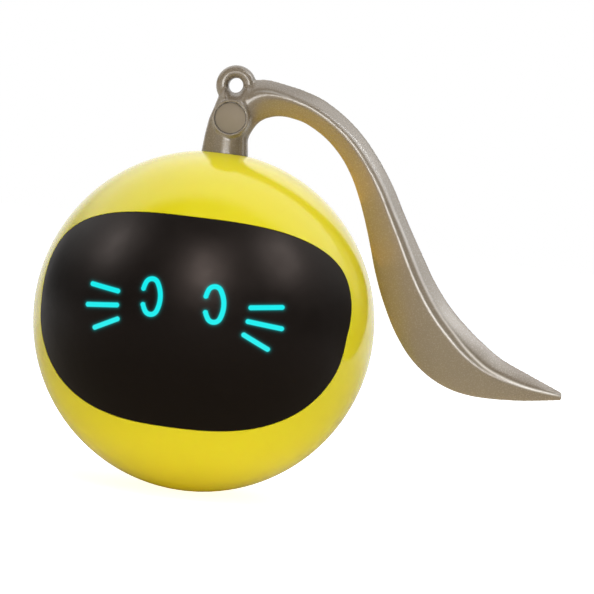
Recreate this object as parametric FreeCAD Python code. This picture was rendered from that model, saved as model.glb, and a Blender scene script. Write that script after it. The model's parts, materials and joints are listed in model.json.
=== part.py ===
import FreeCAD, Part
import math
import os

# A self-rolling cat ball: a two-shell ball with a dark face window and lit marks, a swing weight
# driven through spur gears inside it, and a soft tail that swivels on a peg at the top.
# The model is drawn about the ball's centre, in mm: the face looks along -Y, the tail stands on +Z
# and reaches out along +X. Each piece is lifted by the ball's radius when it is written, so that
# the origin is the point under the centre where the ball touches the floor.

# Fits and gaps
gap = 0.1               # between pieces that are fixed to each other
running = 0.04          # a shaft or gear on its bearing, on the radius
swing_gap = 0.3         # a part that swings past a fixed one

# Ball. What fills or dresses it grows with it; screws, pins and connectors keep their sizes.
ball_radius = 37.5
growth = ball_radius / 37.5
through = 3 * ball_radius   # length of a cut that has to pass right through
wall = 2.2
cavity_radius = ball_radius - wall
cavity_steps = 6        # short cones that make the cavity, from the seam to the pole
lip_height = 1.2
lip_thickness = 0.9
shell_skin = 1.0        # bosses and posts stop this far under the ball's surface

# Face window
window_half_width = 33.3 * growth
window_level = 2.4 * growth
window_rise = 20.3 * growth
window_drop = 24.0 * growth
window_powers_up = (3.04, 3.02)
window_powers_down = (2.83, 2.17)
window_steps = 6        # points on each quarter of the window's outline
window_thickness = 1.3
window_ledge = 1.8

# Lit marks: two open rings for eyes, three bars each side for whiskers
stroke = 1.15
eye_x = 6.62 * growth
eye_z = 5.3 * growth
eye_half_width = 1.95 * growth
eye_half_height = 3.68 * growth
eye_tip_radius = 1.4 * growth   # the tight arc at the ring's top and bottom
eye_opening = 27.0      # half angle of the ring's opening, towards -X
eye_slant = 6.0         # both rings lean this much, their tops towards -X
whiskers = [(14.05 * growth, 5.5 * growth, 20.1 * growth, 6.25 * growth),
            (13.85 * growth, 2.6 * growth, 20.55 * growth, 1.85 * growth),
            (13.35 * growth, -0.25 * growth, 18.3 * growth, -2.7 * growth)]

# Light mask and face board behind the window
mask_half_width = 24.0 * growth
mask_low = -9.5 * growth
mask_high = 12.0 * growth
board_thickness = 1.2
face_board_y = -22.4 * growth   # front of the face board
face_board_inset = 1.0
led_width = 1.0
led_height = 0.7
face_screw_places = [(0.0, 9.6 * growth), (-14.0 * growth, -7.2 * growth), (14.0 * growth, -7.2 * growth)]
small_screw_radius = 0.5
small_screw_head = 1.1
small_screw_head_height = 0.7
small_screw_grip = 2.5

# Shell screws, from the back
shell_screw_ring = ball_radius - 5.0
shell_screw_angles = (45, 135, 225, 315)
shell_boss_radius = 2.5
shell_boss_depth = 13.0 * growth
well_radius = 1.9
well_floor = 4.0
screw_radius = 0.9
screw_head_radius = 1.7
screw_head_height = 1.2
screw_grip = 7.0

# Carrier plates that hold the drive
plate_thickness = 2.0
front_plate_y = -9.5 * growth   # rear of the front plate
rear_plate_y = 7.5 * growth     # front of the rear plate
plate_radius = 32.6 * growth
plate_post_ring = plate_radius - 2.1
plate_post_radius = 2.2
front_post_angles = (62, 118, 270)
rear_post_angles = (0, 180, 270)
plate_screw_radius = 0.6
plate_screw_head = 1.3
plate_screw_head_height = 0.8
plate_screw_length = 4.5

# Drive shaft and swing weight
shaft_radius = 1.5
bush_radius = 3.0
bush_flange = 0.3
bush_flange_width = 0.8
weight_outer = shell_screw_ring - shell_boss_radius - 1.0
weight_inner = 11.0 * growth
weight_half_thickness = 7.0 * growth
weight_edge = 1.0
weight_spread = 120.0
weight_rest_angle = 1.6  # the weight hangs this far towards -X, against the tail
weight_middle = -0.35   # Y of the weight's middle, so that the ball stands upright
arm_hub_radius = 5.0 * growth
arm_half_thickness = 1.5
arm_reach = 17.0 * growth
arm_spread = 100.0
weight_screw_ring = 14.5 * growth
weight_screw_spread = 36.0
weight_screw_radius = 0.75
weight_screw_head = 1.5
weight_screw_head_height = 1.2
weight_sink_depth = 1.5

# Gear train
module = 0.5 * growth
wheel_teeth = 36
pinion_teeth = 12
pressure_angle = 20.0
tooth_share = 0.86      # part of half a pitch that a tooth fills, for backlash
wheel_tip = 0.8
pinion_tip = 0.9
tooth_foot = 1.2
gear_width = 2.5 * growth
gear_layer_gap = 0.5
gear_pin_radius = 0.75
gear_hub_radius = 1.6 * growth
output_hub_radius = 2.3 * growth
train_angles = (50.0, 155.0, 205.0)   # from the drive shaft to each next gear
cover_gap = 0.7         # between the last gear layer and the cover
cover_thickness = 1.2
cover_radius = 26.0 * growth
cover_post_ring = cover_radius - 2.0
cover_post_angles = (-35, 52, 215)
cover_post_radius = 1.9

# Motor
motor_radius = 6.0 * growth
motor_half_height = 5.0 * growth
motor_length = 9.5 * growth
motor_cap_length = 1.0 * growth
motor_cap_step = 0.4
motor_shaft_radius = 0.75
motor_collar_wall = 0.8
motor_collar_shelf = 1.4
motor_lead_radius = 0.4
motor_lead_spread = 3.0

# Battery
battery_size = (36.0 * growth, 6.0 * growth, 20.0 * growth)
battery_centre = (-3.0 * growth, -9.0 * growth)
battery_corner = 1.5
pad_thickness = 1.0
pad_inset = 3.0

# Main board, charging socket and power button
main_board_y = 24.5 * growth
main_board_radius = 22.0 * growth
board_post_ring = main_board_radius - 3.5
board_post_angles = (20, 200, 300)
board_post_radius = 1.8
chip_size = 6.0
chip_height = 1.2
chip_x = -9.0
socket_z = -10.0 * growth
socket_size = (8.94, 3.26)
socket_wall = 0.3
socket_floor = 1.2
socket_end = ball_radius - 3.5
tongue_size = (6.7, 0.7)
tongue_inset = 0.6
plug_size = (12.0, 6.0)
plug_thickness = 1.2
plug_stub = 2.5         # how far the plug's stub enters the socket
button_z = 10.0 * growth
button_radius = 3.4
button_gap = 0.2
button_flange = 0.9
button_flange_width = 1.0
button_pad_y = ball_radius - 5.7
button_travel = 0.5
stem_radius = 1.6
switch_size = 6.0
switch_height = 3.5
switch_floor = 1.6

# Tail peg and its seat at the top of the ball
tail_root_radius = 5.15
tail_root_x = 0.15
seat_radius = tail_root_radius + tail_root_x + 0.2
seat_z = ball_radius - 0.8
land_radius = 6.5
land_z = ball_radius - 2.7
land_thickness = 2.0
peg_flange_radius = 5.0
peg_flange_thickness = 1.4
peg_neck_radius = 2.5
peg_head_radius = 2.9
peg_head_top = 1.2      # above the pin's hole
axial_gap = 0.15

# Tail
tail_lean_z = 41.0 * growth   # the root is straight up to here
tail_top_x = 1.9 * growth
tail_top_z = 50.3 * growth
tail_top_radius = 4.6
tail_pin_z = 44.9 * growth
tail_pin_x = 1.0 * growth
pin_radius = 1.3
pin_head_radius = 3.45
pin_head_thickness = 1.2
pin_boss_radius = 4.15
pin_boss_half = 4.9
pin_recess = 0.25
ring_x = 0.8 * growth
ring_z = 52.3 * growth
ring_hole_radius = 1.7
ring_outer_radius = 4.45
ring_half_thickness = 2.1
ring_land_half = 1.1


def grown(points):
    """Points measured on a ball of 75 mm, moved out with the ball."""
    return [tuple(value * growth for value in point) for point in points]


tail_back = grown([(2.0, 53.2), (8.2, 54.3), (20.7, 51.3), (30.4, 44.2), (38.0, 34.2), (43.5, 24.5),
                   (49.5, 14.8), (57.6, 6.0), (65.9, 0.1), (79.8, -5.6)])
tail_belly = grown([(4.2, 41.0), (8.4, 45.9), (17.5, 45.5), (25.4, 39.7), (30.7, 30.8), (34.2, 21.4),
                    (38.6, 9.2), (46.9, -3.1), (60.0, -8.9), (79.9, -7.4)])
tail_thickness = [9.4, 8.8, 6.8, 6.6, 7.0, 7.4, 7.8, 7.8, 6.0, 1.4]
tail_crest = 0.32       # place of the ridge, as a share of the width from the back edge

# Flat twin leads from the battery and the face board to the main board
lead_width = 2.0
lead_thickness = 1.0
lead_bend = 0.45        # share of a run that each bend may take
lead_start = battery_centre[0] - battery_size[0] / 2 - 0.6
battery_wire = [(lead_start, -15.5 * growth, battery_centre[1])]
battery_wire += grown([(-27.5, -15.3, -8.2), (-30.9, -10.0, -6.6), (-31.0, 0.0, -6.2), (-30.4, 10.0, -5.8),
                       (-27.6, 18.6, -5.2), (-22.3, 24.6, -4.6)])
face_wire = grown([(19.5, -20.6, 2.0), (23.0, -18.9, 2.8), (28.6, -14.6, 4.4), (31.1, -8.0, 5.2),
                   (31.2, 1.5, 5.2), (30.6, 10.5, 4.8), (27.8, 18.6, 4.0), (22.7, 24.6, 3.4)])
wire_notch = 2.0

out_y = FreeCAD.Vector(0, 1, 0)


def rod(radius, y0, y1, x=0.0, z=0.0):
    return Part.makeCylinder(radius, y1 - y0, FreeCAD.Vector(x, y0, z), out_y)


def tube(outer, inner, y0, y1, x=0.0, z=0.0):
    return rod(outer, y0, y1, x, z).cut(rod(inner, y0, y1, x, z))


def block(x0, x1, y0, y1, z0, z1):
    return Part.makeBox(x1 - x0, y1 - y0, z1 - z0, FreeCAD.Vector(x0, y0, z0))


def polar(ring, angle):
    return ring * math.cos(math.radians(angle)), ring * math.sin(math.radians(angle))


def flat_prism(wire, y0, y1):
    """A wire drawn at y = 0, pulled through from y0 to y1."""
    face = Part.Face(wire)
    face.translate(FreeCAD.Vector(0, y0, 0))
    return face.extrude(FreeCAD.Vector(0, y1 - y0, 0))


def polygon_prism(points, y0, y1):
    corners = [FreeCAD.Vector(x, 0, z) for x, z in points]
    return flat_prism(Part.makePolygon(corners + corners[:1]), y0, y1)


def slot_prism(x0, z0, x1, z1, width, y0, y1):
    """A bar with round ends whose end centres are the two points."""
    length = math.hypot(x1 - x0, z1 - z0)
    side_x = -(z1 - z0) / length * width / 2
    side_z = (x1 - x0) / length * width / 2
    bar = polygon_prism([(x0 + side_x, z0 + side_z), (x1 + side_x, z1 + side_z),
                         (x1 - side_x, z1 - side_z), (x0 - side_x, z0 - side_z)], y0, y1)
    return bar.fuse([rod(width / 2, y0, y1, x0, z0), rod(width / 2, y0, y1, x1, z1)]).removeSplitter()


def flat_slot(width, height, y0, y1, z):
    """A slot lying along X, width long and height high, with round ends."""
    half = (width - height) / 2
    return slot_prism(-half, z, half, z, height, y0, y1)


def ball(radius):
    return Part.makeSphere(radius)


def cavity():
    """The hollow of the ball, turned about Y in short cones whose corners lie on the wall."""
    points = []
    for step in range(-cavity_steps, cavity_steps + 1):
        angle = math.radians(90.0 * step / cavity_steps)
        points.append(FreeCAD.Vector(cavity_radius * math.cos(angle), cavity_radius * math.sin(angle), 0))
    points[0].x = 0.0
    points[-1].x = 0.0
    outline = Part.Face(Part.makePolygon(points + points[:1]))
    return outline.revolve(FreeCAD.Vector(0, 0, 0), out_y, 360)


def half_space(side):
    """All of the ball's space in front of the seam (side -1) or behind it (side 1)."""
    low = -through if side < 0 else 0.0
    return block(-through, through, low, low + through, -through, through)


def window_outline(inset):
    """The window's outline, seen along Y: two half super-ellipses that share their widest level."""
    points = []
    for quarter in range(4):
        rise = quarter < 2
        power_x, power_z = window_powers_up if rise else window_powers_down
        height = (window_rise if rise else window_drop) - inset
        for step in range(window_steps):
            angle = math.radians(90.0 * (quarter + step / window_steps))
            x = abs(math.cos(angle)) ** (2 / power_x) * (window_half_width - inset)
            z = abs(math.sin(angle)) ** (2 / power_z) * height
            side_x = -1 if quarter in (1, 2) else 1
            side_z = 1 if rise else -1
            points.append(FreeCAD.Vector(side_x * x, 0, window_level + side_z * z))
    curve = Part.BSplineCurve()
    curve.interpolate(Points=points, PeriodicFlag=True)
    return Part.Wire(curve.toShape())


def window_prism(inset):
    return flat_prism(window_outline(inset), -through, -1)


def oval(half_width, half_height, tip):
    """A four-arc oval: tight arcs at the top and bottom, wide arcs at the sides."""
    rise = half_height - tip
    side = (half_width ** 2 + rise ** 2 - tip ** 2) / (2 * (half_width - tip))
    lean = math.atan2(rise, side - half_width)
    x = half_width - side + side * math.cos(lean)
    z = side * math.sin(lean)
    corners = [(x, z), (0, half_height), (-x, z), (-half_width, 0), (-x, -z), (0, -half_height), (x, -z),
               (half_width, 0), (x, z)]
    points = [FreeCAD.Vector(a, 0, b) for a, b in corners]
    arcs = [Part.Arc(*points[i:i + 3]).toShape() for i in range(0, 8, 2)]
    return Part.Wire(arcs)


def eye_prism(side, grow, y0, y1):
    """One eye: a slanted oval ring, open towards -X, with round ends."""
    half = stroke / 2 + grow
    ring = flat_prism(oval(eye_half_width + half, eye_half_height + half, eye_tip_radius + half), y0, y1)
    room = flat_prism(oval(eye_half_width - half, eye_half_height - half, eye_tip_radius - half), y0, y1)
    end_angle = math.radians(180 - eye_opening)
    end_x = eye_half_width * math.cos(end_angle)
    end_z = eye_half_height * math.sin(end_angle)
    mouth = polygon_prism([(0, 0), (3 * end_x, 3 * end_z), (3 * end_x, -3 * end_z)], y0 - 1, y1 + 1)
    ends = [rod(half, y0, y1, end_x, sign * end_z) for sign in (-1, 1)]
    eye = ring.cut([room, mouth]).fuse(ends).removeSplitter()
    eye.rotate(FreeCAD.Vector(0, 0, 0), out_y, -eye_slant)
    eye.translate(FreeCAD.Vector(side * eye_x, 0, eye_z))
    return eye


def whisker_prisms(side, grow, y0, y1):
    return [slot_prism(side * x0, z0, side * x1, z1, stroke + 2 * grow, y0, y1)
            for x0, z0, x1, z1 in whiskers]


def mark_prisms(grow, y0, y1):
    """All eight marks as prisms along Y."""
    marks = [eye_prism(side, grow, y0, y1) for side in (-1, 1)]
    for side in (-1, 1):
        marks += whisker_prisms(side, grow, y0, y1)
    return marks


def neck_cutter():
    """The seat, the neck hole and the land that the tail's peg turns in."""
    seat = Part.makeCylinder(seat_radius, through, FreeCAD.Vector(0, 0, seat_z))
    hole = Part.makeCylinder(peg_neck_radius + 2 * running, through, FreeCAD.Vector(0, 0, land_z - 5))
    flange_room = Part.makeCylinder(land_radius, 4, FreeCAD.Vector(0, 0, land_z - 4))
    return seat.fuse([hole, flange_room])


def screw_cutters():
    """Shank, pilot and head well of each shell screw, in both shells."""
    cutters = []
    for angle in shell_screw_angles:
        x, z = polar(shell_screw_ring, angle)
        cutters.append(rod(screw_radius + gap, -screw_grip - 0.5, well_floor + 1, x, z))
        cutters.append(rod(well_radius, well_floor, through, x, z))
    return cutters


def shell_blank(side):
    """Half of the ball with its wall, its bosses for the shell screws and the plate's posts."""
    blank = ball(ball_radius).cut(cavity())
    inside = ball(ball_radius - shell_skin)
    for angle in shell_screw_angles:
        x, z = polar(shell_screw_ring, angle)
        reach = shell_boss_depth if side < 0 else ball_radius
        boss = rod(shell_boss_radius, *sorted((0, side * reach)), x, z)
        blank = blank.fuse(boss.common(inside))
    plate_face = front_plate_y - plate_thickness if side < 0 else rear_plate_y + plate_thickness
    for angle in front_post_angles if side < 0 else rear_post_angles:
        x, z = polar(plate_post_ring, angle)
        post = rod(plate_post_radius, *sorted((plate_face, side * ball_radius)), x, z)
        blank = blank.fuse(post.common(inside))
    land = Part.makeCylinder(land_radius, land_thickness, FreeCAD.Vector(0, 0, land_z - 0.5))
    blank = blank.fuse(land.common(inside))
    return blank.common(half_space(side)).cut(neck_cutter())


def front_shell():
    shell = shell_blank(-1)
    ledge_ball = ball(ball_radius - window_thickness)
    shell = shell.cut(window_prism(0).cut(ledge_ball))
    shell = shell.cut(window_prism(window_ledge))
    lip = tube(cavity_radius + lip_thickness, cavity_radius - 0.1, -0.5, lip_height)
    top = Part.makeCylinder(land_radius + 1, ball_radius, FreeCAD.Vector(0, 0, 0))
    wells = [rod(shell_boss_radius + gap, 0, 2, *polar(shell_screw_ring, a)) for a in shell_screw_angles]
    shell = shell.fuse(lip.cut([top] + wells))
    pilots = [rod(plate_screw_radius, front_plate_y - plate_thickness - 5, front_plate_y,
                  *polar(plate_post_ring, a)) for a in front_post_angles]
    return shell.cut(screw_cutters() + pilots).removeSplitter()


def rear_shell():
    shell = shell_blank(1)
    rebate = tube(cavity_radius + lip_thickness + gap, cavity_radius - 1, -1, lip_height + gap)
    keep = [rod(shell_boss_radius, -1, 2, *polar(shell_screw_ring, a)) for a in shell_screw_angles]
    keep.append(Part.makeCylinder(land_radius, ball_radius, FreeCAD.Vector(0, 0, 0)))
    shell = shell.cut(rebate.cut(keep))
    inside = ball(ball_radius - shell_skin)
    button_pad = rod(button_radius + 2, button_pad_y, through, 0, button_z).common(inside)
    board_face = main_board_y + board_thickness
    posts = [rod(board_post_radius, board_face, through, *polar(board_post_ring, a)).common(inside)
             for a in board_post_angles]
    shell = shell.fuse([button_pad] + posts)
    recess = flat_slot(plug_size[0], plug_size[1], board_face, through, socket_z)
    mouth = flat_slot(socket_size[0] + 2 * gap, socket_size[1] + 2 * gap, board_face, through, socket_z)
    button_hole = rod(button_radius + button_gap, board_face, through, 0, button_z)
    rear_face = rear_plate_y + plate_thickness
    pilots = [rod(plate_screw_radius, rear_face - 1, rear_face + 5, *polar(plate_post_ring, a))
              for a in rear_post_angles]
    pilots += [rod(small_screw_radius, board_face - 1, board_face + 3, *polar(board_post_ring, a))
               for a in board_post_angles]
    shell = shell.cut(recess.cut(ball(ball_radius - plug_thickness - gap)))
    return shell.cut([mouth, button_hole] + screw_cutters() + pilots).removeSplitter()


def visor():
    """The dark face window, flush with the ball, with a slot for each lit mark."""
    skin = ball(ball_radius).cut(ball(ball_radius - window_thickness))
    pane = skin.common(window_prism(gap / 2))
    return pane.cut(mark_prisms(0, -through, face_board_y))


def light_window(prisms):
    """A light guide from the face board to the ball's surface."""
    surface = ball(ball_radius)
    return Part.makeCompound([prism.common(surface) for prism in prisms])


def light_mask():
    """The dark grid that keeps the light of each mark apart, with a pillar for each board screw."""
    slab = block(-mask_half_width, mask_half_width, -ball_radius, face_board_y, mask_low, mask_high)
    pane_back = ball_radius - window_thickness - 2 * gap
    bow = math.sqrt(pane_back ** 2 - mask_high ** 2)
    grid = slab.common(Part.makeCylinder(bow, through, FreeCAD.Vector(0, 0, -ball_radius)))
    pilots = [rod(small_screw_radius, face_board_y - 4, face_board_y + 1, x, z) for x, z in face_screw_places]
    return grid.cut(mark_prisms(gap / 2, -through, 0) + pilots)


def face_board():
    half = mask_half_width - face_board_inset
    board = block(-half, half, face_board_y, face_board_y + board_thickness, mask_low, mask_high)
    holes = [rod(small_screw_radius + swing_gap, face_board_y - 1, face_board_y + 3, x, z)
             for x, z in face_screw_places]
    return board.cut(holes)


def face_leds():
    """One chip under each mark: two for an eye, one for a whisker."""
    lean = math.radians(90 + eye_slant)
    places = [(side * eye_x + end * math.cos(lean), eye_z + end * math.sin(lean))
              for side in (-1, 1) for end in (-eye_half_height, eye_half_height)]
    for side in (-1, 1):
        places += [(side * (x0 + x1) / 2, (z0 + z1) / 2) for x0, z0, x1, z1 in whiskers]
    half = led_width / 2
    return Part.makeCompound([block(x - half, x + half, face_board_y - led_height, face_board_y,
                                    z - half, z + half) for x, z in places])


def screw(radius, head_radius, head_height, y_seat, length, x, z, drive=-1):
    """A pan-head screw: the shank runs from its seat along drive, the head stands the other way."""
    shank = rod(radius, *sorted((y_seat, y_seat + drive * length)), x, z)
    head = rod(head_radius, *sorted((y_seat, y_seat - drive * head_height)), x, z)
    return head.fuse(shank).removeSplitter()


def screw_set(places, **sizes):
    return Part.makeCompound([screw(x=x, z=z, **sizes) for x, z in places])


def shell_screws():
    return screw_set([polar(shell_screw_ring, a) for a in shell_screw_angles], radius=screw_radius,
                     head_radius=screw_head_radius, head_height=screw_head_height, y_seat=well_floor,
                     length=well_floor + screw_grip)


def plate_screws():
    """Small flat-head screws that hold both carrier plates to the posts of the shells."""
    sizes = dict(radius=plate_screw_radius, head_radius=plate_screw_head,
                 head_height=plate_screw_head_height, length=plate_screw_length)
    front = screw_set([polar(plate_post_ring, a) for a in front_post_angles],
                      y_seat=front_plate_y - plate_screw_head_height, drive=-1, **sizes)
    rear = screw_set([polar(plate_post_ring, a) for a in rear_post_angles],
                     y_seat=rear_plate_y + plate_screw_head_height, drive=1, **sizes)
    return Part.makeCompound(front.Solids + rear.Solids)


def small_screws(places, y_seat, plate, drive):
    """Pan-head screws that hold a plate of the given thickness."""
    return screw_set(places, radius=small_screw_radius, head_radius=small_screw_head,
                     head_height=small_screw_head_height, y_seat=y_seat, length=plate + small_screw_grip,
                     drive=drive)


def face_screws():
    return small_screws(face_screw_places, face_board_y + board_thickness, board_thickness, -1)


def board_screws():
    places = [polar(board_post_ring, a) for a in board_post_angles]
    return small_screws(places, main_board_y, board_thickness, 1)


def wire_notches(y0, y1):
    """Clearance for the two leads where they pass a plate's rim."""
    notches = []
    for path in (battery_wire, face_wire):
        for start, end in zip(path, path[1:]):
            if start[1] < y1 and end[1] > y0:
                share = ((y0 + y1) / 2 - start[1]) / (end[1] - start[1])
                x = start[0] + share * (end[0] - start[0])
                z = start[2] + share * (end[2] - start[2])
                notches.append(rod(wire_notch, y0 - 1, y1 + 1, x, z))
                notches.append(slot_prism(x, z, x * 1.2, z * 1.2, 2 * wire_notch, y0 - 1, y1 + 1))
    return notches


def carrier_plate(y0, y1, post_angles):
    """A round plate that just fits the cavity, notched for the bosses of the shell screws."""
    plate = rod(plate_radius, y0, y1)
    bosses = [rod(shell_boss_radius + swing_gap, y0 - 1, y1 + 1, *polar(shell_screw_ring, a))
              for a in shell_screw_angles]
    holes = [rod(plate_screw_radius + gap, y0 - 1, y1 + 1, *polar(plate_post_ring, a)) for a in post_angles]
    return plate.cut(bosses + holes + wire_notches(y0, y1) + [rod(bush_radius, y0 - 1, y1 + 1)])


def front_plate():
    low = front_plate_y - plate_thickness
    plate = carrier_plate(low, front_plate_y, front_post_angles)
    heads = [rod(plate_screw_head + gap, front_plate_y - plate_screw_head_height, front_plate_y + 1,
                 *polar(plate_post_ring, a)) for a in front_post_angles]
    return plate.cut(heads)


def gear_places():
    """Centres of the drive shaft, the two double gears and the motor, down the train."""
    distance = module * (wheel_teeth + pinion_teeth) / 2
    places = [(0.0, 0.0)]
    for angle in train_angles:
        x, z = polar(distance, angle)
        places.append((places[-1][0] + x, places[-1][1] + z))
    return places


def layer(index):
    """The low and high Y of gear layer 1, 2 or 3, counted from the rear plate."""
    low = rear_plate_y + plate_thickness + gear_layer_gap
    low += (index - 1) * (gear_width + gear_layer_gap)
    return low, low + gear_width


def cover_span():
    low = layer(3)[1] + cover_gap
    return low, low + cover_thickness


def rear_plate():
    """The rear carrier plate with the cover's posts, the motor's collar and seats for the gear pins."""
    face = rear_plate_y + plate_thickness
    plate = carrier_plate(rear_plate_y, face, rear_post_angles)
    posts = [rod(cover_post_radius, face, cover_span()[0], *polar(cover_post_ring, a))
             for a in cover_post_angles]
    shaft, second, first, motor = gear_places()
    collar = tube(motor_radius + motor_collar_wall, motor_radius - motor_collar_shelf, face, layer(2)[0],
                  *motor)
    wheel_room = rod(module * wheel_teeth / 2 + 1, face, layer(2)[0] + 1, *first)
    plate = plate.fuse(posts + [collar.cut(wheel_room)])
    heads = [rod(plate_screw_head + gap, rear_plate_y - 1, rear_plate_y + plate_screw_head_height,
                 *polar(plate_post_ring, a)) for a in rear_post_angles]
    pins = [rod(gear_pin_radius, rear_plate_y - 1, face + 1, *place) for place in (first, second)]
    pilots = [rod(small_screw_radius, cover_span()[0] - 3, cover_span()[1], *polar(cover_post_ring, a))
              for a in cover_post_angles]
    return plate.cut(heads + pins + pilots)


def gear_cover():
    low, high = cover_span()
    shaft, second, first, motor = gear_places()
    cover = rod(cover_radius, low, high)
    holes = [rod(gear_pin_radius, low - 1, high + 1, *place) for place in (first, second)]
    holes.append(rod(shaft_radius + running, low - 1, high + 1, *shaft))
    holes.append(rod(motor_radius + gap, low - 1, high + 1, *motor))
    holes += [rod(small_screw_radius + gap, low - 1, high + 1, *polar(cover_post_ring, a))
              for a in cover_post_angles]
    return cover.cut(holes + wire_notches(low, high))


def cover_screws():
    places = [polar(cover_post_ring, a) for a in cover_post_angles]
    return small_screws(places, cover_span()[1], cover_thickness, -1)


def bush(y0, y1, flange_side):
    """A brass bush in a carrier plate, with a thin flange towards the swing weight."""
    body = tube(bush_radius, shaft_radius + running, y0, y1)
    face = y1 if flange_side > 0 else y0 - bush_flange
    return body.fuse(tube(bush_radius + bush_flange_width, shaft_radius + running, face, face + bush_flange))


def front_bush():
    return bush(front_plate_y - plate_thickness, front_plate_y, 1)


def rear_bush():
    return bush(rear_plate_y, rear_plate_y + plate_thickness, -1)


def drive_shaft():
    low = front_plate_y - plate_thickness + swing_gap
    return rod(shaft_radius, low, cover_span()[1])


def hang(shape):
    """Moves a piece drawn straight down about y = 0 to the place where the weight rests."""
    shape.translate(FreeCAD.Vector(0, weight_middle, 0))
    shape.rotate(FreeCAD.Vector(0, 0, 0), out_y, weight_rest_angle)
    return shape


def fan(outer, spread, y0, y1):
    """A wedge of a disc about the shaft, pointing down."""
    start = math.radians(270 - spread / 2)
    end = math.radians(270 + spread / 2)
    middle = math.radians(270)
    rim = [FreeCAD.Vector(outer * math.cos(a), 0, outer * math.sin(a)) for a in (start, middle, end)]
    centre = FreeCAD.Vector(0, 0, 0)
    edges = [Part.makeLine(centre, rim[0]), Part.Arc(*rim).toShape(), Part.makeLine(rim[2], centre)]
    return flat_prism(Part.Wire(edges), y0, y1)


def weight_screw_places():
    return [polar(weight_screw_ring, 270 + side * weight_screw_spread) for side in (-1, 1)]


def swing_weight():
    """The steel sector, slotted for the arm and counterbored for its two screws."""
    half = weight_half_thickness
    sector = fan(weight_outer, weight_spread, -half, half).cut(rod(weight_inner, -half - 1, half + 1))
    long_edges = [e for e in sector.Edges if e.BoundBox.YLength > half]
    sector = sector.makeFillet(weight_edge, long_edges)
    slot = rod(arm_reach + gap, -arm_half_thickness - gap, arm_half_thickness + gap)
    holes = []
    for x, z in weight_screw_places():
        holes.append(rod(weight_screw_radius + gap, -half - 1, half + 1, x, z))
        holes.append(rod(weight_screw_head + gap, half - weight_sink_depth, half + 1, x, z))
    return hang(sector.cut([slot] + holes))


def weight_arm():
    """The moulded hub on the shaft, with a fan-shaped web that enters the weight's slot."""
    low = front_plate_y + 2 * bush_flange + swing_gap - weight_middle
    high = rear_plate_y - 2 * bush_flange - swing_gap - weight_middle
    hub = rod(arm_hub_radius, low, high)
    web = fan(arm_reach, arm_spread, -arm_half_thickness, arm_half_thickness)
    arm = hub.fuse(web).removeSplitter()
    holes = [rod(weight_screw_radius + gap, -2 * arm_half_thickness, 2 * arm_half_thickness, x, z)
             for x, z in weight_screw_places()]
    return hang(arm.cut(holes + [rod(shaft_radius, low - 1, high + 1)]))


def weight_screws():
    seat = weight_half_thickness - weight_sink_depth
    return hang(screw_set(weight_screw_places(), radius=weight_screw_radius, head_radius=weight_screw_head,
                          head_height=weight_screw_head_height, y_seat=seat,
                          length=2 * weight_half_thickness - 2 * weight_sink_depth, drive=-1))


def gear_outline(teeth, tip, phase):
    """Corners of a spur gear with involute flanks, drawn as short chords."""
    pitch = module * teeth / 2
    base = pitch * math.cos(math.radians(pressure_angle))
    involute = math.tan(math.radians(pressure_angle)) - math.radians(pressure_angle)
    half_pitch = math.pi / (2 * teeth) * tooth_share

    def half_angle(radius):
        if radius <= base:
            return half_pitch + involute
        angle = math.acos(base / radius)
        return half_pitch + involute - (math.tan(angle) - angle)

    foot = pitch - tooth_foot * module
    top = pitch + tip * module
    radii = [foot, pitch, top]
    points = []
    for tooth in range(teeth):
        centre = math.radians(phase) + 2 * math.pi * tooth / teeth
        for radius in radii:
            angle = centre - half_angle(radius)
            points.append((radius * math.cos(angle), radius * math.sin(angle)))
        for radius in reversed(radii):
            angle = centre + half_angle(radius)
            points.append((radius * math.cos(angle), radius * math.sin(angle)))
    return points


def gear(teeth, phase, index, place):
    tip = wheel_tip if teeth == wheel_teeth else pinion_tip
    points = [(place[0] + x, place[1] + z) for x, z in gear_outline(teeth, tip, phase)]
    return polygon_prism(points, *layer(index))


def mesh_phase(angle):
    """The turn that puts a gap of the smaller gear on the line to the larger one's tooth."""
    return angle + 180 + 180.0 / pinion_teeth


def output_gear():
    shaft = gear_places()[0]
    low, high = layer(3)
    wheel = gear(wheel_teeth, train_angles[0], 3, shaft)
    hub = rod(output_hub_radius, rear_plate_y + plate_thickness + gap, low, *shaft)
    return wheel.fuse(hub).cut(rod(shaft_radius, rear_plate_y, high + 1, *shaft))


def double_gear(place, wheel_layer, wheel_angle, pinion_layer, pinion_angle):
    """A wheel and a pinion moulded in one, with a hub to the plate and the cover."""
    wheel = gear(wheel_teeth, wheel_angle, wheel_layer, place)
    pinion = gear(pinion_teeth, mesh_phase(pinion_angle), pinion_layer, place)
    low = rear_plate_y + plate_thickness + gap
    high = cover_span()[0] - gap
    hub = rod(gear_hub_radius, low, high, *place)
    step = rod(module * pinion_teeth / 2 - tooth_foot * module, layer(wheel_layer)[0],
               layer(pinion_layer)[1], *place)
    return wheel.fuse([pinion, hub, step]).cut(rod(gear_pin_radius + running, low - 1, high + 1, *place))


def second_gear():
    return double_gear(gear_places()[1], 2, train_angles[1], 3, train_angles[0])


def first_gear():
    return double_gear(gear_places()[2], 1, train_angles[2], 2, train_angles[1])


def gear_pins():
    places = gear_places()[1:3]
    return Part.makeCompound([rod(gear_pin_radius, rear_plate_y + 0.5, cover_span()[1], *p) for p in places])


def motor_pinion():
    place = gear_places()[3]
    low, high = layer(1)
    pinion = gear(pinion_teeth, mesh_phase(train_angles[2]), 1, place)
    return pinion.cut(rod(motor_shaft_radius, low - 1, high + 1, *place))


def motor_shaft():
    return rod(motor_shaft_radius, layer(1)[0], layer(2)[0] + motor_length - 1, *gear_places()[3])


def motor_flats(place, y0, y1):
    x, z = place
    side = 2 * motor_radius
    return block(x - side, x + side, y0, y1, z - motor_half_height, z + motor_half_height)


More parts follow.
